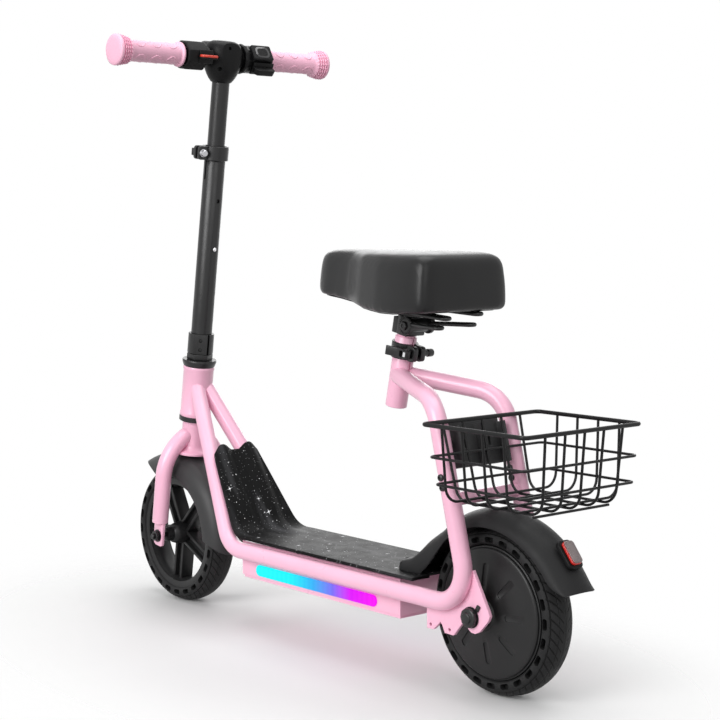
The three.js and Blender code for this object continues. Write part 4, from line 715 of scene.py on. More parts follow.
hub = {
    "side": [(6.6, 52), (14.5, 52), (16, 51), (16.4, 46.5), (22, 45.6), (24, 43.6), (24.6, 41.6), (30, 40),
             (44, 37.4), (60, 34.8), (76, 32), (84, 30.6), (88, 30.3), (94.2, 29.8), (96.4, 29.2), (97.6, 28),
             (98.1, 26.4), (98.1, 24.6), (100.3, 24.2), (100.3, 0)],
    "slots": 8,
    "slotTurn": 0.06,
    "slotFrom": 41,
    "slotTo": 76,
    "slotWidth": 10.5,
    "slotDepth": 1.7,
    "slope": math.radians(-9.4),
    "slopeRadius": 56,
    "slopeOut": 35.5,
}


def makeHub(values):
    # each side is the same dished cover with pressed slots
    for side, body, node in ((1, "hubCover", "hub_motor_cover"), (-1, "hubShell", "hub_motor_shell")):
        skin = values["side"] + [(6.6, 0), (6.6, 52)]
        cover = spun(body, skin, "Y", 128)
        half = values["slotWidth"] / 2
        start = values["slotFrom"] - values["slopeRadius"]
        end = values["slotTo"] - values["slopeRadius"]
        tool = pad("slotTool", (start, -half, end, half), half * 0.96, -values["slotDepth"], 6, steps=6)
        seat = shift(values["slopeRadius"], values["slopeOut"], 0)
        placed(tool, seat @ turnBy(values["slope"], "Z"))
        count = values["slots"]
        turns = [math.tau * (i + values["slotTurn"]) / count for i in range(count)]
        tools = [copied(tool, turnBy(turn, "Y")) for turn in turns]
        bpy.data.objects.remove(tool)
        cutAway(cover, joined("slotTools", *tools))
        bevelled(cover, 0.35, 2, 40)
        if side < 0:
            cover = placed(cover, turnBy(math.pi, "X"))
        dress(placed(cover, rearAxle), "rear_wheel", "rimCast", node)


makeHub(hub)

rim = {
    "hoop": [(86, 0), (87, 12), (89.5, 17), (90.5, 21.2), (92, 22), (103.4, 22), (104.4, 21.2), (104.4, 19.4),
             (100.4, 18.6), (100.4, 0)],
    "spokes": 5,
    "phase": math.radians(62.5),
    "width": 26,
    "depth": 26,
    "rib": 6,
    "web": 8,
    "barrel": [(5.6, 47), (11, 47), (12.5, 46), (13, 34), (16.5, 31), (19, 24), (20.5, 14), (21.5, 0)],
}


def makeRim(values):
    hoop = turned("rimHoop", bothWays(values["hoop"]), "Y", 128)
    core = turned("rimCore", bothWays(values["barrel"]), "Y", 64)
    wide, deep = values["width"] / 2, values["depth"] / 2
    rib, web = values["rib"], values["web"] / 2
    section = [(-deep, -wide), (deep, -wide), (deep, -wide + rib), (web, -wide + rib), (web, wide - rib),
               (deep, wide - rib), (deep, wide), (-deep, wide), (-deep, wide - rib), (-web, wide - rib),
               (-web, -wide + rib), (-deep, -wide + rib)]
    spoke = bevelled(slab("spoke", section, 8, 88, "X"), 1.1, 3)
    spokes = [
        copied(spoke, turnBy(-math.tau * i / values["spokes"] - values["phase"], "Y"))
        for i in range(values["spokes"])
    ]
    bpy.data.objects.remove(spoke)
    whole = joined("frontRim", hoop, core, *spokes)
    dress(placed(whole, frontAxle), "front_wheel", "rimCast", "front_rim")


makeRim(rim)
print("wheels made")


# Fork: crown, two curved legs and the flat tabs that take the axle

fork = {
    "crown": [(0, 153.5), (34.5, 153.5), (36, 154.5), (36, 157.4), (35, 158.8), (28, 161), (23.4, 165),
              (22, 169), (22, 214.7), (15, 214.7), (15, 372), (0, 372)],
    "legRadius": 14.7,
    "legSpread": 60.5,
    "legFoot": 26,
    "legBendUp": 112,
    "legBend": 86,
    "legSweep": math.radians(72),
    "legSteps": 20,
    "tab": [(-13.5, 34), (-13.5, -13.5), (-12.6, -17), (-9, -18.5), (6, -18.5), (11.5, -15), (13.5, -9),
            (13.5, -5.6), (0, -5.6), (-4, -4), (-5.6, 0), (-4, 4), (0, 5.6), (13.5, 5.6), (13.5, 34)],
    "tabThickness": 6,
}


def forkLegLine(values):
    # straight up from the axle, then bent in towards the crown
    side, reach, steps = values["legSpread"], values["legBend"], values["legSteps"]
    line = [(0, side, values["legFoot"])]
    for step in range(steps + 1):
        turn = values["legSweep"] * step / steps
        line.append((0, side - reach + reach * math.cos(turn), values["legBendUp"] + reach * math.sin(turn)))
    return [Vector(point) * mm for point in line]


def makeFork(values):
    crown = spun("forkCrown", values["crown"])
    leg = tube("forkLeg", forkLegLine(values), values["legRadius"], sides=36)
    bevelled(leg, 2.2, 3, 60)
    thick = values["tabThickness"] / 2
    tab = bevelled(slab("forkTab", values["tab"], values["legSpread"] - thick, values["legSpread"] + thick),
                   0.8, 2)
    side = joined("forkSide", leg, tab)
    other = copied(side, Matrix.Scale(-1, 4, (0, 1, 0)))
    whole = joined("fork", crown, side, other)
    dress(placed(whole, steerLine), "steering", "framePaint", "fork")


makeFork(fork)


# Fenders are drawn as a grid that is bent round the wheel and given a wall

def bentGrid(name, columns, rows, place, wall):
    # place(u, v) gives a point in metres for u across and v along, both from 0 to 1
    clearSelection()
    bpy.ops.mesh.primitive_grid_add(x_subdivisions=columns, y_subdivisions=rows, size=1)
    piece = bpy.context.object
    piece.name = name
    for vertex in piece.data.vertices:
        vertex.co = place(vertex.co.x + 0.5, vertex.co.y + 0.5)
    closeMesh(piece)
    if wall:
        closeMesh(modified(piece, "SOLIDIFY", thickness=wall * mm, offset=-1))
    return piece


frontFender = {
    "radius": 150,
    "halfWidth": 42,
    "drop": 40,
    "wall": 2.6,
    "from": 52,
    "to": 188,
    "roundFront": 19,
    "roundRear": 10,
    "flare": 9,
    "pad": [(0, 146.6), (15, 146.6), (15, 153.2), (0, 153.2)],
}


def makeFrontFender(values):
    def place(u, v):
        across = -math.pi / 2 + math.pi * u
        fall = 1 - math.cos(across)
        first = values["from"] + values["roundFront"] * fall
        last = values["to"] - values["roundRear"] * fall
        turn = first + (last - first) * v
        flare = max(0, (90 - turn) / (90 - values["from"])) ** 2
        out = values["radius"] + values["flare"] * flare - values["drop"] * fall ** 1.15
        angle = math.radians(turn)
        side = values["halfWidth"] * math.copysign(abs(math.sin(across)) ** 0.85, math.sin(across))
        return Vector((out * math.cos(angle), side, out * math.sin(angle))) * mm

    shell = bentGrid("frontFender", 32, 72, place, values["wall"])
    pad = spun("fenderPad", values["pad"])
    placed(pad, steerLine)
    bevelled(shell, 0.8, 2, 50)
    placed(shell, frontAxle)
    # the fender's plastic carries a painted sheen in its raised colour
    dress(joined("frontFender", shell, pad), "steering", "blackPlasticPaintedSheen", "front_fender")


makeFrontFender(frontFender)
print("fork and front fender made")


# Stem: nut, base clamp, the two tubes, the quick release and the head

stem = {
    "locknut": [(15.4, 330.2), (23, 330.2), (23.6, 331), (23.6, 340), (23, 340.8), (15.4, 340.8)],
    "baseClamp": [(15.4, 341.6), (22.4, 341.6), (23.4, 342.6), (23.4, 377.4), (22.4, 378.4), (15.4, 378.4)],
    "clampSlit": 4,
    "clampFacet": 19.6,
    "facetTurn": math.radians(142),
    "clampBolts": (350, 367),
    "boltHole": [(0, 16.6), (3.2, 16.6), (3.2, 30), (0, 30)],
    "boltHead": [(0, 15.5), (3, 15.5), (3, 17.6), (2.4, 18.2), (1.6, 18.2), (1.5, 17), (0, 17)],
    "sleeve": [(15.05, 330.4), (15.35, 330.4), (15.35, 378.2), (15.05, 378.2)],
    "outer": [(16, 378.7), (18.6, 378.7), (19, 379.1), (19, 716.4), (18.6, 717), (16, 717)],
    "outerSlot": 4,
    "slotBottom": 659,
    "sideHoles": (535, 622),
    "holeRadius": 3.9,
    "button": [(0, 16.2), (3.5, 16.2), (3.5, 20.4), (2.9, 21.2), (1.5, 21.8), (0, 22)],
    "buttonUp": 535,
    "inner": [(13.2, 518), (15.7, 518), (15.7, 860), (13.2, 860)],
    "innerSlot": 30,
    "collar": [(19.3, 694), (22.9, 694), (23.6, 694.8), (23.6, 718.2), (22.9, 719), (19.3, 719)],
    "earFrom": 20,
    "earTo": 41.3,
    "earLow": 694.4,
    "earHigh": 718.6,
    "earGap": 3,
    "earThick": 6,
    "earCorner": 5,
    "earEdge": (0.8, 2),
    "earNormal": "X",
    "boltOut": 33.8,
    "bolt": [(0, -17.4), (4.6, -17.4), (6, -16.2), (6, -11), (7, -10.6), (7, -9.4), (3, -9.4), (3, 8.8),
             (0, 8.8)],
    "middle": 706.5,
    "leverEnd": math.radians(-58),
    "leverReach": 25.5,
    "leverSteps": 36,
}


def makeStem(values):
    nut = bevelled(turned("locknut", values["locknut"], "Z", 6), 0.7, 2)
    dress(placed(nut, steerLine), "steering", "stemCoat", "headset_locknut", smooth=30)
    clamp = turned("stemBaseClamp", values["baseClamp"])
    slit = values["clampSlit"] / 2
    cutAway(clamp, slab("slitTool", oblong(-slit, 330, slit, 390), -30, -5, "X"))
    turn = turnBy(values["facetTurn"], "Z")
    cutAway(clamp, placed(slab("facetTool", oblong(-20, 330, 20, 390), values["clampFacet"], 40, "X"), turn))
    bevelled(clamp, 0.7, 2)
    heads = []
    for up in values["clampBolts"]:
        seat = shift(0, 0, up) @ turn @ turnBy(math.radians(-90), "Z")
        cutAway(clamp, placed(spun("holeTool", values["boltHole"], "Y", 24), seat))
        heads.append(placed(spun("clampBolt", values["boltHead"], "Y", 24), seat))
    dress(placed(clamp, steerLine), "steering", "stemCoat", "stem_base_clamp")
    dress(placed(turned("steererSleeve", values["sleeve"]), steerLine), "steering", "stemCoat")
    dress(placed(joined("stemClampBolts", *heads), steerLine), "steering", "stemCoat")
    outer = turned("stemOuter", values["outer"])
    half = values["outerSlot"] / 2
    cutAway(outer, slab("slotTool", oblong(-half, values["slotBottom"], half, 730), 5, 30))
    half = values["holeRadius"]
    for up in values["sideHoles"]:
        cutAway(outer, tube("holeTool", [(-0.03, 0, up * mm), (0, 0, up * mm)], half))
    bevelled(outer, 0.3, 2, 50)
    dress(placed(outer, steerLine), "steering", "stemCoat", "stem_tube_outer")
    # the inner tube has room for the button, open to its lower end
    inner = turned("stemInner", values["inner"])
    up = values["buttonUp"]
    cutAway(inner, slab("slotTool", oblong(-half, up - values["innerSlot"], half, up), -30, -5, "X"))
    cutAway(inner, tube("holeTool", [(-0.03, 0, up * mm), (-0.005, 0, up * mm)], half))
    dress(placed(inner, steerLine), "handlebar_assembly", "stemCoat", "stem_tube_inner")
    button = spun("heightButton", values["button"], "Y", 32)
    placed(button, turnBy(math.radians(90), "Z"))
    placed(button, steerLine @ shift(0, 0, up))
    dress(button, "stem_button", "brightSteel", "height_button")


def clampEars(values):
    # the two lugs that a clamp's bolt draws together
    outline = oblong(values["earFrom"], values["earLow"], values["earTo"], values["earHigh"])
    edge = rounded(outline, [0, values["earCorner"], values["earCorner"], 0], 5, True)
    ears = []
    for side in (1, -1):
        near, far = sorted((side * values["earGap"], side * (values["earGap"] + values["earThick"])))
        ears.append(bevelled(slab("ear", edge, near, far, values["earNormal"]), *values["earEdge"]))
    return ears


def makeStemClamp(values):
    ring = turned("stemCollar", values["collar"])
    gap, thick = values["earGap"], values["earThick"]
    cutAway(ring, slab("gapTool", oblong(-gap, 690, gap, 725), 5, 26))
    collar = joined("stemCollar", ring, *clampEars(values))
    dress(placed(collar, steerLine), "steering", "stemCoat", "stem_clamp_collar")
    out, up = values["boltOut"], values["middle"]
    nut = spun("boltNut", values["bolt"], "Y", 24)
    placed(nut, shift(0, out, up) @ turnBy(math.radians(-90), "Z"))
    dress(placed(nut, steerLine), "steering", "zincSteel", "stem_clamp_bolt")
    pivotX = gap + thick + 0.3 + 6
    # the blade comes round from the pivot to lie along the collar
    start, end = math.atan2(out, pivotX), values["leverEnd"]
    reach = values["leverReach"]
    line = []
    for step in range(values["leverSteps"] + 1):
        share = step / values["leverSteps"]
        angle = start + (end - start) * share
        grow = (out - reach) * max(0, 1 - 3 * share) ** 1.4
        line.append((angle, reach + grow, 2.6 + 2.6 * min(1, share * 2.2) - 1.6 * share ** 3))
    near = [(r * math.cos(a), r * math.sin(a)) for a, r, t in line]
    away = [((r + t) * math.cos(a), (r + t) * math.sin(a)) for a, r, t in reversed(line)]
    blade = bevelled(slab("stemLeverBlade", near + away, up - 6.5, up + 6.5, "Z"), 1.3, 3, 40)
    barrel = rod("stemLeverBarrel", 6, 0.8, up - 6.5, up + 6.5, steps=40)
    placed(barrel, shift(pivotX, out, 0))
    lever = joined("stemLever", blade, barrel)
    dress(placed(lever, steerLine), "stem_lever", "stemCoat", "stem_clamp_lever")
    pin = rod("stemLeverPin", 3, 0.4, up - 7.1, up + 7.1)
    placed(pin, shift(pivotX, out, 0))
    dress(placed(pin, steerLine), "stem_lever", "zincSteel")


stemHead = {
    "profile": [(0, 831), (16.3, 831), (18.2, 832), (22.6, 837.4), (26.6, 844), (29.8, 851), (32, 858),
                (33.2, 865), (33.5, 874), (33.3, 882), (32.3, 890), (30, 896.4), (26, 900.6), (19, 903.4),
                (10, 904.2), (0, 904.4)],
    "facet": 27.3,
    "facetTilt": math.radians(7),
    "holes": [((-27, 4, 892), 3.1), ((-26, 21, 855.5), 3.4)],
}

headlight = {
    "body": [(0, -8), (19, -8), (21, 0), (22, 10), (22, 24), (21.2, 25.6), (19.6, 26), (19, 25.2),
             (18.6, 22.4), (0, 22.4)],
    "glass": [(0, 25.2), (10, 24.9), (18.4, 23.6), (18.4, 22.6), (0, 22.6)],
    "place": (30, 0, 4),
}


def makeStemHead(values):
    head = spun("stemHead", values["profile"], "Z", 96)
    facet = slab("facetTool", oblong(-40, -60, 40, 60), -90, -values["facet"], "X")
    placed(facet, shift(0, 0, scooter["barUp"]) @ turnBy(values["facetTilt"], "Y"))
    cutAway(head, facet)
    bevelled(head, 1.2, 3, 35)
    for (x, y, up), radius in values["holes"]:
        hole = tube("holeTool", [((x - 12) * mm, y * mm, up * mm), ((x + 6) * mm, y * mm, up * mm)], radius)
        cutAway(head, hole)
    dress(placed(head, steerLine), "handlebar_assembly", "podPlastic", "stem_head", smooth=40)


def makeHeadlight(values):
    seat = shift(*values["place"]) @ turnBy(math.radians(-90), "Z")
    lamp = spun("headlightBody", values["body"], "Y", 72)
    glass = spun("headlightGlass", values["glass"], "Y", 72)
    for piece, finish, nodes in ((lamp, "podPlastic", ["headlight"]), (glass, "lampGlass", [])):
        dress(placed(piece, barLine @ seat), "handlebar_assembly", finish, *nodes)


def lampGlassFinish():
    material, shader, place = startMaterial("lampGlass")
    ribs = wavesAt(place, 90, "Y")
    tone = mixed(ribs, (0.62, 0.65, 0.68), (0.8, 0.82, 0.85))
    feed(shader, {"Base Color": tone, "Roughness": 0.08, "Transmission Weight": 0.35})
    bumped(shader, ribs, 0.3)
    return material


finishes["lampGlass"] = {"material": lampGlassFinish()}
makeStem(stem)
makeStemClamp(stem)
makeStemHead(stemHead)
makeHeadlight(headlight)
print("stem made")


# Handlebar, grips and controls; places along the bar count from its middle

grips = {
    "body": [(11.4, 0), (20, 0), (21.2, 0.8), (21.6, 2.2), (21.4, 4), (19.8, 5.2), (18, 6.2)],
    "flange": [(18, 196), (19.2, 198), (21.6, 200.4), (22.8, 201.4), (23, 203.2), (20.6, 203.8),
               (20.6, 205.8), (23.6, 206.4), (24, 207.8), (21.2, 208.4), (21.2, 210.4), (24.6, 211),
               (25, 212.4), (22, 213), (22, 215), (25.6, 215.6), (26, 217), (22.8, 217.6), (22.8, 219.6),
               (26.3, 220.2), (26.5, 222.8), (26, 224.6), (24, 226), (18, 226.9), (9, 227.4), (0, 227.5)],
    "end": [(0, 219.4), (11.4, 219.4)],
    "bore": 11.4,
    "notches": 22,
    "notchFrom": 201.2,
    "notchTo": 217.6,
    "notchOut": 22.2,
    "notchShare": 0.03,
    "crescentRows": 5,
    "crescentTurn": 46,
    "crescentHalf": 11,
    "crescentRise": 0.44,
    "crescentOut": 17.9,
    "crescentStep": 32,
    "crescentFirst": 181,
    "crescentRadius": 1.0,
}


def makeGrip(values, side, start, name, node):
    profile = [(r, start + y) for r, y in values["body"]] + values["flange"]
    body = spun(name, profile + values["end"] + [(values["bore"], start)], "Y", 132)
    low, high, out = values["notchFrom"] * mm, values["notchTo"] * mm, values["notchOut"] * mm
    for vertex in body.data.vertices:
        spot = vertex.co
        if low < spot.y < high and math.hypot(spot.x, spot.z) > out:
            wave = 1 + values["notchShare"] * math.sin(values["notches"] * math.atan2(spot.z, spot.x))
            spot.x *= wave
            spot.z *= wave
    marks = []
    count = int((values["crescentFirst"] - start - 6) // values["crescentStep"]) + 1
    for row in range(values["crescentRows"]):
        bend = side * values["crescentRise"] * (-1 if row % 2 else 1)
        for i in range(count):
            middle = values["crescentFirst"] - values["crescentStep"] * i
            turn = math.radians(90 + side * (values["crescentTurn"] + 360 * row / values["crescentRows"]))
            points = []
            for step in range(13):
                share = step / 6 - 1
                angle = turn + bend * (0.5 - share * share)
                reach = values["crescentOut"] - 0.5 * share ** 6
                points.append(Vector((reach * math.cos(angle), middle + values["crescentHalf"] * share,
                                      reach * math.sin(angle))) * mm)
            marks.append(tube("crescent", points, values["crescentRadius"], sides=12))
    grip = joined(name, body, *marks)
    if side < 0:
        placed(grip, turnBy(math.pi, "Z"))
    dress(placed(grip, barLine), "handlebar_assembly", "gripRubber", node, smooth=45)


def makeBar(values):
    bar = placed(turned("handlebar", values["bar"], "Y"), barLine)
    dress(bar, "handlebar_assembly", "stemCoat", "handlebar")


controls = {
    "bar": [(9.1, -219), (10.8, -219), (11.1, -218.6), (11.1, 218.6), (10.8, 219), (9.1, 219)],
    "brakePod": [(11.4, 45.4), (21.8, 45.4), (24.6, 47), (26.2, 49.4), (26.2, 83.6), (25.4, 86.4), (24, 88.4),
                 (20.4, 88.4), (19.4, 86.6), (11.4, 86.6)],
    "brakeRing": [(11.4, 36), (16.4, 36), (17, 36.8), (17, 45.6), (11.4, 45.6)],
    "brakeCollar": [(11.4, 86), (14.6, 86), (15, 87), (15, 91), (14, 92), (11.4, 92)],
    "displayBody": [(11.4, -94), (22.6, -94), (24.6, -92.8), (25.2, -90), (25.2, -87), (24.4, -86),
                    (24.4, -41), (26.6, -40), (26.8, -36), (25.4, -33.4), (11.4, -33.4)],
    "displayRing": [(11.4, -34), (18.4, -34), (18.4, -30.6), (17.6, -30), (11.4, -30)],
    "brakeSides": 8,
    "displaySides": 12,
    "rootSweep": 0.9,
    "brakeRoot": (24, 28, 39.4, 67.6),
    "brakeBlade": [(-26.6, 36.5), (-26.6, 68), (-30, 69), (-35.4, 67), (-39.6, 60), (-41.2, 41), (-38, 37),
                   (-31, 35.8)],
    "bladeUp": (-0.6, 3.6),
    "bladeUnder": (-3.6, -0.5),
    "throttleRoot": (24.8, 29.4, -92.6, -49.4),
    "throttleBlade": [(-28, -92.6), (-28, -49.6), (-36, -49.6), (-41, -55), (-41, -88), (-37, -92.6)],
    "throttleUp": (-5.4, 5.6),
    "throttleTurn": math.radians(-32),
    "hood": (-17, -90, 13, -47),
    "screen": (-13, -83, 9, -53),
    "screenFrame": (-9.5, -79, 5.5, -57),
    "hoodUp": (12, 28.6),
    "screenUp": (28.2, 29.3),
    "frameUp": (29.1, 29.5),
    "hoodTurn": math.radians(-54),
    "powerButton": [(0, 20.5), (4.4, 20.5), (4.4, 24.6), (3.8, 25.4), (2, 25.7), (0, 25.5)],
    "powerAlong": -42.5,
    "powerTurn": math.radians(50),
}


def leverRoot(name, sweep, near, far, low, high):
    # the curved foot of a thumb lever, which runs round the pod on its rider's side
    steps = 14
    arc = [math.pi - sweep / 2 + sweep * i / steps for i in range(steps + 1)]
    inside = [(near * math.cos(a), near * math.sin(a)) for a in arc]
    outside = [(far * math.cos(a), far * math.sin(a)) for a in reversed(arc)]
    return bevelled(slab(name, inside + outside, low, high), 1, 3)


def makeBrake(values):
    pod = turned("brakePod", values["brakePod"], "Y", values["brakeSides"])
    placed(pod, turnBy(math.pi / values["brakeSides"], "Y"))
    bevelled(pod, 1.5, 3, 25)
    rings = [turned(name, values[name], "Y", 72) for name in ("brakeRing", "brakeCollar")]
    whole = joined("brakePod", pod, *rings)
    dress(placed(whole, barLine), "handlebar_assembly", "podPlastic", "brake_pod")
    root = leverRoot("brakeLeverRoot", values["rootSweep"], *values["brakeRoot"])
    dress(placed(root, barLine), "brake", "podPlastic")
    edge = rounded(values["brakeBlade"], 2.6, 4, True)
    lever = bevelled(slab("brakeLever", edge, *values["bladeUp"], "Z"), 1.3, 3)
    inner = [(x * 0.97 - 0.4, y) for x, y in edge]
    under = bevelled(slab("leverUnder", inner, *values["bladeUnder"], "Z"), 1.1, 3)
    dress(placed(lever, barLine), "brake", "redPlastic", "brake_lever")
    dress(placed(under, barLine), "brake", "podPlastic")


def makeDisplay(values):
    pod = turned("displayPod", values["displayBody"], "Y", values["displaySides"])
    bevelled(pod, 1.2, 3, 20)
    ring = turned("displayRing", values["displayRing"], "Y", 72)
    hood = pad("displayHood", values["hood"], 4, *values["hoodUp"], "Z", 5)
    bevelled(hood, 2, 4, 40)
    screen = pad("displayScreen", values["screen"], 9, *values["screenUp"], "Z", 8)
    bevelled(screen, 0.5, 3, 40)
    mark = pad("displayFrame", values["screenFrame"], 6, *values["frameUp"], "Z", 8)
    tilt = turnBy(values["hoodTurn"], "Y")
    for piece in (hood, screen, mark):
        placed(piece, tilt)
    whole = joined("displayPod", pod, ring, hood)
    dress(placed(whole, barLine), "handlebar_assembly", "podPlastic", "display_pod")
    dress(placed(screen, barLine), "handlebar_assembly", "screenGlass")
    dress(placed(mark, barLine), "handlebar_assembly", "podPlastic")
    root = leverRoot("throttleRoot", values["rootSweep"], *values["throttleRoot"])
    edge = rounded(values["throttleBlade"], 2.4, 4, True)
    blade = slab("throttleBlade", edge, *values["throttleUp"], "Z")
    lever = joined("throttleLever", root, bevelled(blade, 1.6, 3))
    placed(lever, turnBy(values["throttleTurn"], "Y"))
    dress(placed(lever, barLine), "throttle", "podPlastic", "throttle_lever")
    button = spun("powerButton", values["powerButton"], "Y", 40)
    placed(button, turnBy(math.radians(90), "Z"))
    seat = shift(0, values["powerAlong"], 0) @ turnBy(values["powerTurn"], "Y")
    dress(placed(placed(button, seat), barLine), "power", "stemCoat", "power_button")


def screenFinish():
    material, shader, place = startMaterial("screenGlass")
    smears = noiseAt(place, 60, 4)
    tone = mixed(smears, (0.008, 0.008, 0.009), (0.014, 0.014, 0.016))
    feed(shader, {"Base Color": tone, "Roughness": spread(smears, 0.06, 0.14), "Coat Weight": 0.5})
    return material


finishes["screenGlass"] = {"material": screenFinish()}
makeBar(controls)
makeGrip(grips, 1, 92.2, "gripLeft", "grip_left")
makeGrip(grips, -1, 94.4, "gripRight", "grip_right")
makeBrake(controls)
makeDisplay(controls)
print("handlebar made")


# Seat post, its clamp and the quick release

seatClamp = {
    "post": [(12, 8), (14.4, 8), (14.4, 146.5), (12, 146.5)],
    "ring": [(17.6, 80.5), (20.4, 80.5), (21, 81.2), (21, 104.8), (20.4, 105.5), (17.6, 105.5)],
    "earFrom": -18,
    "earTo": -36.4,
    "earLow": 80.8,
    "earHigh": 105.2,
    "earGap": 3.5,
    "earThick": 9,
    "earCorner": 6,
    "earEdge": (1, 3),
    "earNormal": "Y",
    "boltOut": 26.6,
    "bolt": [(0, -35.6), (4.4, -35.6), (6, -34.6), (6.4, -33), (6.4, -25), (5, -24), (5, -15), (6.6, -14.4),
             (6.6, -12.9), (3, -12.9), (3, 12.2), (0, 12.2)],
    "middle": 93,
    "strap": [(-4.4, -3.8), (-3.6, 0), (-1, 2.2), (6, 2.6), (16, 3.8), (24, 6.6), (31.6, 12), (33, 14.4),
              (31, 16), (27.4, 15), (20, 10), (12, 7.5), (0, 6.8), (-4.6, 5.2), (-6.8, 1.6), (-6.4, -3)],
    "window": (-3, -5.2, 9, 5.2),
    "drum": [(0, -7.5), (6.2, -7.5), (7, -6.7), (7, -4), (5.4, -3.4), (5.4, 3.4), (7, 4), (7, 6.7),
             (6.2, 7.5), (0, 7.5)],
    "drumSleeve": [(0, -3.6), (6.3, -3.6), (6.3, 3.6), (0, 3.6)],
}


def makeSeatClamp(values):
    dress(placed(turned("seatPost", values["post"]), seatLine), "seat", "framePaint", "seat_post")
    ring = turned("seatCollar", values["ring"])
    gap = values["earGap"]
    cutAway(ring, slab("gapTool", oblong(-gap, 70, gap, 110), -26, -5, "X"))
    collar = joined("seatCollar", ring, *clampEars(values))
    dress(placed(collar, seatLine), "frame", "stemCoat", "seat_clamp_collar")
    out, up = values["boltOut"], values["middle"]
    nut = spun("seatBolt", values["bolt"], "Y", 32)
    placed(nut, shift(-out, 0, up))
    dress(placed(nut, seatLine), "frame", "stemCoat", "seat_clamp_bolt")
    # the lever is drawn about its own pivot, which stands off the outer ear
    blade = bevelled(slab("seatLeverStrap", values["strap"], -7.5, 7.5, "Z"), 1.2, 3, 40)
    cutAway(blade, pad("leverWindow", values["window"], 2.4, 1.5, 12))
    lever = joined("seatLever", blade, spun("seatLeverDrum", values["drum"], "Z", 48))
    pivot = gap + values["earThick"] + 0.3 + 7
    place = seatLine @ shift(-out, pivot, up)
    dress(placed(lever, place), "seat_lever", "stemCoat", "seat_clamp_lever")
    sleeve = spun("seatLeverSleeve", values["drumSleeve"], "Z", 40)
    pin = joined("seatLeverPin", rod("seatLeverPin", 4, 0.6, -8.2, 8.2, steps=32), sleeve)
    dress(placed(pin, place), "seat_lever", "brightSteel")


# Saddle: one moulded form on a plastic base, carried on bent wire rails

saddle = {
    "voxel": 3.2,
    "smoothing": 60,
    "rails": 3.4,
    "railPair": 15,
    "railRoutes": {
        1: [((28, 560), 91, [(262, 28, 573, 1)]), ((28, 545), 107, [(178, 21, 547, 0.3)])],
        -1: [((36, 565), 87, [(262, 28, 574, 1)]), ((36, 548), 101, [(178, 21, 547, 0.3)])],
    },
    "clamp": [(0, 118), (16.6, 118), (17.5, 119), (17.5, 148), (16.6, 149), (0, 149)],
    "discBack": 21,
    "discUp": 138,
    "disc": [(0, -27), (10, -27), (14.5, -25.6), (14.5, -22), (11, -20.6), (11, 20.6), (14.5, 22),
             (14.5, 25.6), (10, 27), (0, 27)],
    "jaw": (-20, 119, -1, 148),
    "jawHalf": 19.5,
    "front": (5, 118, 18, 143.5),
    "frontHalf": 16,
    "clampHead": [(0, 26), (7.4, 26), (7.4, 30), (6.6, 31.4), (3.2, 31.9), (3.1, 30), (0, 30)],
    "teeth": 24,
    "tooth": [(10.6, -0.7), (14.2, -0.9), (14.2, 0.9), (10.6, 0.7)],
    "toothSide": (26.4, 27.6),
}


def makeSaddle(values):
    cushion = refined("saddle_cushion", "saddle", 0)
    modified(cushion, "REMESH", mode="VOXEL", voxel_size=values["voxel"] * mm)
    modified(cushion, "SMOOTH", factor=0.5, iterations=values["smoothing"])
    modified(cushion, "SUBSURF", levels=1, render_levels=1)
    dress(cushion, "seat", "saddleSkin", "saddle_cushion", smooth=60)
    base = refined("saddle_base", "saddleBase", 1)
    dress(base, "seat", "podPlastic", "saddle_base")


def makeSaddleClamp(values):
    body = spun("saddleClamp", values["clamp"], "Z", 64)
    seat = shift(-values["discBack"], 0, values["discUp"])
    disc = placed(spun("clampDisc", values["disc"], "Y", 64), seat)
    jaw = pad("clampJaw", values["jaw"], 3, -values["jawHalf"], values["jawHalf"])
    front = slab("clampFront", oblong(*values["front"]), -values["frontHalf"], values["frontHalf"])
    jaw = bevelled(joined("clampJaw", jaw, front), 1, 2)
    heads = []
    for side in (1, -1):
        head = bevelled(spun("clampHead", values["clampHead"], "Y", 6), 0.5, 2)
        turn = seat @ turnBy(0 if side > 0 else math.pi, "X")
        heads.append(placed(head, turn))
    teeth = []
    for i in range(values["teeth"]):
        turn = seat @ turnBy(math.tau * i / values["teeth"], "Y")
        teeth.append(placed(slab("tooth", values["tooth"], *values["toothSide"]), turn))
    whole = joined("saddleClamp", body, jaw, disc, *heads, *teeth)
    dress(placed(whole, seatLine), "seat", "stemCoat", "saddle_clamp")


def makeRails(values):
    # on each side two hairpins of wire, the upper one ending under the saddle, the lower one in the clamp
    rails = []
    half = values["railPair"] / 2
    for side in (1, -1):
        for tip, back, front in values["railRoutes"][side]:
            middle, height = tip
            line = []
            for reach in (-half, half):
                ends = [at(x, side * (y + reach * share), z) for x, y, z, share in front]
                line.append(ends + [at(back, side * (middle + reach), height)])
            corners = line[0] + line[1][::-1]
            bends = [0.012] * (len(front) - 1) + [half * mm * 0.96]
            radii = [0] + bends + bends[::-1] + [0]
            rails.append(tube("rail", rounded(corners, radii, 8), values["rails"]))
    dress(joined("saddleRails", *rails), "seat", "stemCoat", "saddle_springs")


makeSeatClamp(seatClamp)
makeSaddle(saddle)
makeSaddleClamp(saddle)
makeRails(saddle)
print("seat made")


# Deck board, battery box and light strips

deck = {
    "line": [(121, 141.8), (585, 141.8), (781, 420.5)],
    "bend": 64,
    "lift": 14.3,
    "thick": 5,
    "halfWidth": 72.4,
    "topHalfWidth": 46,
    "panelLength": 151,
    "ridge": 7,
    "ridgeAt": 28,
    "ridgeWidth": 21,
    "lobe": 9,
    "lobeShare": 0.1,
    "cornerShare": 0.04,
    "cornerDrop": 5,
    "rows": 96,
    "columns": 48,
    "wheelRoom": 135,
    "wheelRoomHalf": 35,
}


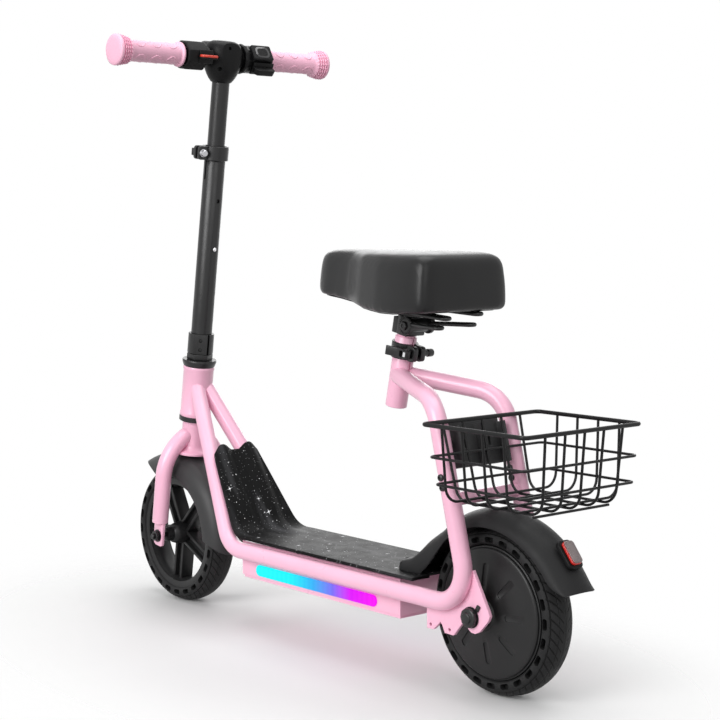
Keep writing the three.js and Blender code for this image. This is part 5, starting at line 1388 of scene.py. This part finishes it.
def runLengths(line):
    # how far along the line each of its points is
    lengths = [0]
    for here, there in zip(line, line[1:]):
        lengths.append(lengths[-1] + (there - here).length)
    return lengths


def stepAt(lengths, want):
    # the last stretch that starts at or before this length
    return min(max(k for k in range(len(lengths)) if lengths[k] <= want + 0.001), len(lengths) - 2)


def deckSpine(values):
    # the bent line of the tubes under the board, as evenly spaced points with their directions
    line = rounded([(x, 0, z) for x, z in values["line"]], [0, values["bend"], 0], 24)
    line[-1] = line[-2] + (line[-1] - line[-2]).normalized() * values["panelLength"]
    lengths = runLengths(line)
    points = []
    for row in range(values["rows"] + 1):
        want = lengths[-1] * row / values["rows"]
        i = stepAt(lengths, want)
        along = (line[i + 1] - line[i]).normalized()
        points.append((line[i] + along * (want - lengths[i]), along))
    return points, lengths[1] / lengths[-1]


def makeDeck(values):
    spine, bendShare = deckSpine(values)
    base = values["line"][0][1]
    rise = spine[-1][0].z - base
    rows = values["rows"]
    upFrom = bendShare * 0.8

    def place(u, v):
        row = round(v * rows)
        point = spine[row][0]
        along = (spine[max(row - 3, 0)][1] + spine[min(row + 3, rows)][1]).normalized()
        out = Vector((-along.z, 0, along.x))
        up = (point.z - base) / rise
        half = values["halfWidth"] + (values["topHalfWidth"] - values["halfWidth"]) * up
        side = (1 - 2 * u) * half
        near = abs(abs(side) - values["ridgeAt"]) / values["ridgeWidth"]
        crest = (1 + math.cos(math.pi * near)) / 2 if near < 1 else 0
        # two ridges swell up the front panel, and its top edge is drawn in between and beside them
        share = min(1, max(0, (v - upFrom) / (1 - upFrom) * 1.6))
        bump = values["ridge"] * crest * share * share * (3 - 2 * share)
        lobe = values["lobe"] * (crest - 1) * max(0, 1 - (1 - v) / values["lobeShare"]) ** 2
        corner = max(0, 1 - (1 - v) / values["cornerShare"]) ** 2 * max(0, abs(1 - 2 * u) - 0.75) / 0.25
        lobe -= corner * values["cornerDrop"]
        spot = point + out * (values["lift"] + values["thick"] + bump) + along * lobe
        return at(spot.x, side, spot.z)

    board = bentGrid("deckBoard", values["columns"], values["rows"], place, values["thick"])
    ends = [rearAxle @ Vector((0, side * values["wheelRoomHalf"] * mm, 0)) for side in (1, -1)]
    cutAway(board, tube("wheelTool", ends, values["wheelRoom"], sides=96))
    bevelled(board, 1.1, 3, 50)
    dress(board, "frame", "deckPrint", "deck_board", smooth=50)


def deckFinish():
    # black film with a plain night sky: pale specks of several sizes, a few glints, soft grey drifts
    material, shader, place = startMaterial("deckPrint")
    x, y, z = splitPlace(place)
    plan = {"X": maths("MULTIPLY_ADD", z, 0.5, x), "Y": y}
    flat = added(place, "CombineXYZ", plan).outputs["Vector"]

    def cellsAt(scale):
        # round cells, each with a random colour; the colour's parts draw lots for it
        cells = added(flat, "TexVoronoi", {"Scale": scale, "Vector": flat}, voronoi_dimensions="2D").outputs
        return cells, added(flat, "SeparateColor", {"Color": cells["Color"]}).outputs

    drift = {"Vector": flat, "Scale": (4, 26, 1), "Rotation": (0, 0, 0.12)}
    clouds = noiseAt(added(flat, "Mapping", drift).outputs["Vector"], 1.4, 4)
    total = mixed(spread(clouds, 0, 1, 0.52, 0.74), (0.005, 0.005, 0.0052), (0.045, 0.045, 0.048))
    for scale, size, chosen, bright in ((150, 0.075, 0.45, 0.4), (62, 0.05, 0.5, 0.95), (30, 0.038, 0.6, 1)):
        cells, lots = cellsAt(scale)
        dot = spread(cells["Distance"], bright, 0, size * 0.6, size)
        lot = spread(lots["Red"], 0, 1, chosen, chosen + 0.2)
        total = mixed(maths("MULTIPLY", dot, lot), total, (0.9, 0.91, 0.93))
    # glints are cells of their own, whose light runs out along two crossed lines
    cells, lots = cellsAt(17)
    offset = added(flat, "VectorMath", {0: flat, 1: cells["Position"]}, operation="SUBTRACT")
    aside, ahead, _ = splitPlace(offset.outputs["Vector"])
    crossed = maths("ABSOLUTE", maths("MULTIPLY", aside, ahead))
    ray = spread(crossed, 1, 0, 0.0000002, 0.0000012)
    near = spread(cells["Distance"], 1, 0, 0.05, 0.1)
    lot = maths("GREATER_THAN", lots["Green"], 0.62)
    total = mixed(maths("MULTIPLY", maths("MULTIPLY", ray, near), lot), total, (0.95, 0.96, 0.98))
    matt = spread(noiseAt(place, 50, 4), 0.42, 0.52)
    feed(shader, {"Base Color": total, "Roughness": matt, "Specular IOR Level": 0.07})
    bumped(shader, noiseAt(place, 1800, 2), 0.1)
    return material


finishes["deckPrint"] = {"slot": "deck_print", "material": deckFinish()}


batteryBox = {
    "edge": 2.2,
    "lidEdge": 1.2,
    "screw": [(0, -1.6), (3.6, -1.2), (4, 0), (1.7, 0.1), (1.6, 1), (0, 1)],
    "screwRows": (178, 288, 398, 550),
    "screwSide": 49,
    "screwUp": 92.2,
    "strip": (216, 101.5, 526, 120.5),
    "stripOut": (58.8, 61.9),
    "stripColours": [(0, (0, 0.99, 0.99)), (0.3, (0, 0.93, 0.99)), (0.5, (0.03, 0.45, 0.95)),
                     (0.66, (0.2, 0.16, 0.95)), (0.8, (0.75, 0, 0.98)), (1, (1, 0, 0.95))],
}


def makeBatteryBox(values):
    dress(refined("battery_box", "batteryBox", values["edge"], 4), "frame", "framePaint", "battery_box")
    lid = refined("battery_lid", "batteryLid", values["lidEdge"], 3)
    screws = []
    for x in values["screwRows"]:
        for side in (1, -1):
            seat = Matrix.Translation(at(x, side * values["screwSide"], values["screwUp"]))
            screws.append(placed(spun("lidScrew", values["screw"], "Z", 24), seat))
    dress(lid, "frame", "framePaint", "battery_lid")
    dress(joined("lidScrews", *screws), "frame", "zincSteel")


def makeLightStrips(values):
    half = (values["strip"][3] - values["strip"][1]) / 2
    for side, name in ((1, "left"), (-1, "right")):
        low, high = sorted(side * out for out in values["stripOut"])
        strip = pad("lightStrip_" + name, values["strip"], half * 0.99, low, high, steps=10)
        bevelled(strip, 1.2, 3, 40)
        dress(placed(strip, bodyLine), "frame", "stripGlow", "led_strip_" + name)


def stripFinish(values):
    material, shader, place = startMaterial("stripGlow")
    # a black cover that shines through in colours from blue-green in front to violet behind
    front, rear = at(values["strip"][2], 0, 0).x, at(values["strip"][0], 0, 0).x
    ramp = added(place, "ValToRGB", {"Fac": spread(splitPlace(place)[0], 0, 1, front, rear)})
    first, *between, last = values["stripColours"]
    ramp.color_ramp.elements[0].color = (*first[1], 1)
    ramp.color_ramp.elements[1].color = (*last[1], 1)
    for stop, colour in between:
        ramp.color_ramp.elements.new(stop).color = (*colour, 1)
    diodes = wavesAt(place, 26)
    feed(shader, {
        "Base Color": mixed(diodes, (0.004, 0.004, 0.006), (0.008, 0.008, 0.01)),
        "Emission Color": ramp.outputs["Color"],
        "Emission Strength": spread(diodes, 0.99, 1.02, 0, 1),
        "Roughness": 0.45,
        "Specular IOR Level": 0.1,
    })
    return material


finishes["stripGlow"] = {"slot": "strip_lens", "material": stripFinish(batteryBox)}
makeDeck(deck)
makeBatteryBox(batteryBox)
makeLightStrips(batteryBox)
print("deck made")


# Rear fender with its housing, and the tail light

rearFender = {
    "radius": 154.5,
    "flare": 14.5,
    "from": 46,
    "to": 161,
    "halfWidth": 38,
    "drop": 25,
    "wall": 3,
    "tipShare": 0.14,
    "tipDrop": 0.6,
    "tipIn": 5,
    "archSteps": 24,
    "housing": [(180, 55.5, 45, 0, -21, 0.4), (160, 62.5, 44.5, 0, -28, 0.45), (146, 76, 43, -4, -42, 0.55),
                (133, 92.5, 41, -14, -35.5, 0.8)],
    "rows": 90,
    "columns": 40,
    "plate": [(-44.6, 162.2), (44.6, 162.2), (44.6, 178), (30, 183.4), (-30, 183.4), (-44.6, 178)],
    "plateFrom": 176.6,
    "plateTo": 179.8,
}


def makeRearFender(values):
    # each row is its crest, how its sides sink from there, its half width and how square it is
    rows = []
    for forward, up, half, backSink, downSink, square in values["housing"]:
        rows.append((Vector((forward, 0, up)), Vector((backSink, 0, downSink)), half, square))
    steps = values["archSteps"]
    for i in range(steps):
        turn = values["from"] + (values["to"] - values["from"]) * i / (steps - 1)
        share = max(0, (turn - 90) / (values["to"] - 90))
        out = Vector((math.cos(math.radians(turn)), 0, math.sin(math.radians(turn))))
        tip = max(0, 1 - (1 - share) / values["tipShare"]) ** 2
        crest = out * (values["radius"] + values["flare"] * share * share)
        sink = out * -values["drop"] * (1 - values["tipDrop"] * tip)
        rows.append((crest, sink, values["halfWidth"] - values["tipIn"] * tip, 1))
    lengths = runLengths([row[0] for row in rows])

    def rowAt(v):
        # a smooth run through the rows
        want = v * lengths[-1]
        i = stepAt(lengths, want)
        t = (want - lengths[i]) / (lengths[i + 1] - lengths[i])
        near = [rows[min(max(i + step, 0), len(rows) - 1)] for step in (-1, 0, 1, 2)]
        result = []
        for a, b, c, d in zip(*near):
            straight = b + (c - a) * 0.5 * t
            bend = (a - b * 2.5 + c * 2 - d * 0.5) * t * t
            result.append(straight + bend + (b * 1.5 - a * 0.5 - c * 1.5 + d * 0.5) * t ** 3)
        return result

    def place(u, v):
        crest, sink, half, square = rowAt(v)
        across = -math.pi / 2 + math.pi * u
        side = abs(math.sin(across)) ** max(square, 0.3)
        down = 1 - max(0, math.cos(across)) ** max(square, 0.3)
        spot = crest + sink * down
        return at(spot.x, math.copysign(half * side, across), spot.z + scooter["wheelRadius"])

    shell = bentGrid("rearFender", values["columns"], values["rows"], place, values["wall"])
    bevelled(shell, 0.9, 2, 50)
    edge = rounded(values["plate"], 3, 4, True)
    front = bevelled(slab("fenderFront", edge, values["plateFrom"], values["plateTo"], "X"), 0.9, 2)
    placed(front, bodyLine)
    dress(joined("rearFender", shell, front), "frame", "fenderPlastic", "rear_fender", smooth=45)


tailLight = {
    "turn": 141.6,
    "length": 46,
    "width": 29,
    "seat": 164.5,
    "baseTop": 171.8,
    "lensTop": 179.4,
}


def makeTailLight(values):
    lay = rearAxle @ turnBy(math.radians(90 - values["turn"]), "Y")

    def layer(name, inset, low, high, edge):
        halfLong = values["length"] / 2 - inset
        halfWide = values["width"] / 2 - inset
        box = (-halfLong, -halfWide, halfLong, halfWide)
        return placed(bevelled(pad(name, box, halfWide * 0.55, low, high, "Z", 8), edge, 3, 40), lay)

    base = layer("tailLightBase", 0, values["seat"], values["baseTop"], 1.4)
    dress(base, "frame", "podPlastic", "tail_light_base")
    lens = layer("tailLightLens", 4.5, values["baseTop"] + 0.2, values["lensTop"] - 3, 1.2)
    dress(lens, "frame", "tailRed", "tail_light_lens")
    face = layer("tailLightFace", 5, values["lensTop"] - 3.4, values["lensTop"], 1.6)
    dress(face, "frame", "reflectorGrey")


def lensFinish(name, bright, dim, ribs, roughness, paintedGlow=None):
    material, shader, place = startMaterial(name)
    lines = wavesAt(place, ribs, "DIAGONAL")
    feed(shader, {"Base Color": mixed(lines, bright, dim), "Roughness": roughness, "Coat Weight": 0.4})
    bumped(shader, lines, 0.5, 0.001)
    # a faint red emission on the lens: a painted glow, the tail light itself is not lit
    if paintedGlow:
        feed(shader, {"Emission Color": paintedGlow, "Emission Strength": 0.25})
    return material


# the last colour is the lens's painted glow
lensRed = lensFinish("tailRed", (0.5, 0.014, 0.01), (0.22, 0.004, 0.003), 130, 0.05, (0.9, 0.02, 0.01))
finishes["tailRed"] = {"slot": "light_lens", "material": lensRed}
lensGrey = lensFinish("reflectorGrey", (0.2, 0.15, 0.15), (0.14, 0.1, 0.1), 210, 0.3)
finishes["reflectorGrey"] = {"material": lensGrey}
makeRearFender(rearFender)
makeTailLight(tailLight)
print("rear fender made")


# Basket of welded wires, and the bracket that carries it

basket = {
    "rimHeight": 412.9,
    "depth": 114,
    "length": 204.5,
    "halfWidth": 122.6,
    "rearTaper": 9,
    "sideTaper": 7,
    "rim": 3.3,
    "wire": 2.1,
    "rings": (0.41, 0.755),
    "corner": 9,
    "foot": 24,
    "longWires": 5,
    "crossWires": 4,
    "crossShift": 4,
    "overlap": 1.6,
    "floorWire": 0.69,
    "stayGap": 3.8,
}


def basketSides(values, height):
    share = (values["rimHeight"] - height) / values["depth"]
    # the front leans with the stays, just behind them
    behind = frameTubes["radius"] / math.cos(frameTubes["stayLean"])
    front, top = (stayX(level) - behind - values["stayGap"] for level in (height, values["rimHeight"]))
    rear = top - values["length"] + values["rearTaper"] * share
    return front, rear, values["halfWidth"] - values["sideTaper"] * share


def makeBasket(values):
    top, wire = values["rimHeight"], values["wire"]
    low = top - values["depth"]
    levels = [(top, values["rim"])] + [(top - share * values["depth"], wire) for share in values["rings"]]
    wires = []
    for height, radius in levels:
        front, rear, side = basketSides(values, height)
        corners = rounded([at(x, y, height) for x, y in oblong(front, side, rear, -side)],
                          values["corner"] * mm, 8, True)
        wires.append(tube("ring", corners, radius, closed=True, sides=16))
    topFront, topRear, topSide = basketSides(values, top)
    lowFront, lowRear, lowSide = basketSides(values, low)
    foot = values["foot"] * mm
    hoops = []
    for i in range(values["longWires"]):
        share = 2 * (i + 1) / (values["longWires"] + 1) - 1
        hoops.append([at(topFront, share * topSide, top), at(lowFront, share * lowSide, low),
                      at(lowRear, share * lowSide, low), at(topRear, share * topSide, top)])
    # the cross wires lie on the long ones, and one more is welded under their rear bends
    lap = values["overlap"] * wire
    raised = low + lap
    for i in range(values["crossWires"]):
        x = topFront + (topRear - topFront) * (i + 1) / (values["crossWires"] + 1)
        xLow = x - values["crossShift"]
        hoops.append([at(x, topSide, top), at(xLow, lowSide, raised), at(xLow, -lowSide, raised),
                      at(x, -topSide, top)])
    for hoop in hoops:
        wires.append(tube("hoop", rounded(hoop, [0, foot, foot, 0], 8), wire, sides=12))
    x, y, z = lowRear + values["foot"] * 0.6, values["floorWire"] * lowSide, low - lap
    wires.append(tube("floorWire", [at(x, y, z), at(x, -y, z)], wire, sides=12))
    dress(joined("basket", *wires), "frame", "wireCoat", "basket")


bracket = {
    "edge": 0.8,
    "profile": [(0, 13.4), (5.4, 13.4), (5.4, 15), (4.9, 16.6), (3.4, 17.6), (2.2, 17.8), (2.1, 16.2),
                (0, 16.2)],
    "heights": (331, 316.5),
}


def makeBracket(values):
    plate = refined("basket_bracket", "basketBracket", values["edge"], 2, 40)
    dress(plate, "frame", "blackPlasticPaintedSheen", "basket_bracket")
    bolts = []
    for side in (1, -1):
        for height in values["heights"]:
            seat = Matrix.Translation(at(stayX(height), side * frameTubes["spread"], height))
            bolts.append(placed(spun("stayBolt", values["profile"], "Y", 36), seat))
    dress(joined("stayBolts", *bolts), "frame", "stemCoat")


makeBasket(basket)
makeBracket(bracket)
print("basket made")


# Axle nuts, and finishes on the CAD pieces that stay

nuts = {
    "rearWasher": [(6.3, 66), (16, 66), (16, 67.6), (6.3, 67.6)],
    "rearHex": [(0, 67.4), (13.4, 67.4), (15, 68.6), (15, 73.4), (13.4, 74.6), (9, 75.2), (8.8, 78),
                (7.6, 79), (0, 79)],
    "tab": [(-9.5, 13), (-15.5, 10), (-20, 18.4), (-14, 21.4)],
    "tabSide": (65.9, 68.4),
    "axleHalf": 77,
    "frontWasher": [(5.3, 63.8), (11.4, 63.8), (11.4, 65.2), (5.3, 65.2)],
    "frontHex": [(5.3, 65.2), (9.2, 65.2), (9.8, 66), (9.8, 71), (9.2, 71.8), (5.3, 71.8)],
}


def makeNuts(values):
    for side, name in ((1, "left"), (-1, "right")):
        flip = turnBy(0 if side > 0 else math.pi, "X")
        washer = turned("rearWasher", values["rearWasher"], "Y", 48)
        hexagon = bevelled(spun("rearHex", values["rearHex"], "Y", 10), 0.6, 2, 25)
        tab = bevelled(slab("tabWasher", values["tab"], *values["tabSide"]), 0.5, 2)
        nut = joined("rearNut_" + name, washer, hexagon, tab)
        dress(placed(placed(nut, flip), rearAxle), "frame", "stemCoat", "rear_axle_nut_" + name, smooth=30)
        washer = turned("frontWasher", values["frontWasher"], "Y", 48)
        hexagon = turned("frontHex", values["frontHex"], "Y", 6)
        nut = joined("frontNut_" + name, washer, bevelled(hexagon, 0.5, 2))
        dress(placed(placed(nut, flip), frontAxle), "steering", "stemCoat", "front_axle_nut_" + name,
              smooth=30)
    axle = rod("frontAxle", 5, 1, -values["axleHalf"], values["axleHalf"], "Y", 40)
    dress(placed(axle, frontAxle), "steering", "stemCoat", "front_axle")


makeNuts(nuts)

for node, finish in (("battery_pack", "packWrap"), ("motor_stator", "zincSteel"), ("rear_axle", "zincSteel")):
    frame["nodes"][node].data.materials.clear()
    frame["nodes"][node].data.materials.append(finishes[finish]["material"])
print("nuts made")
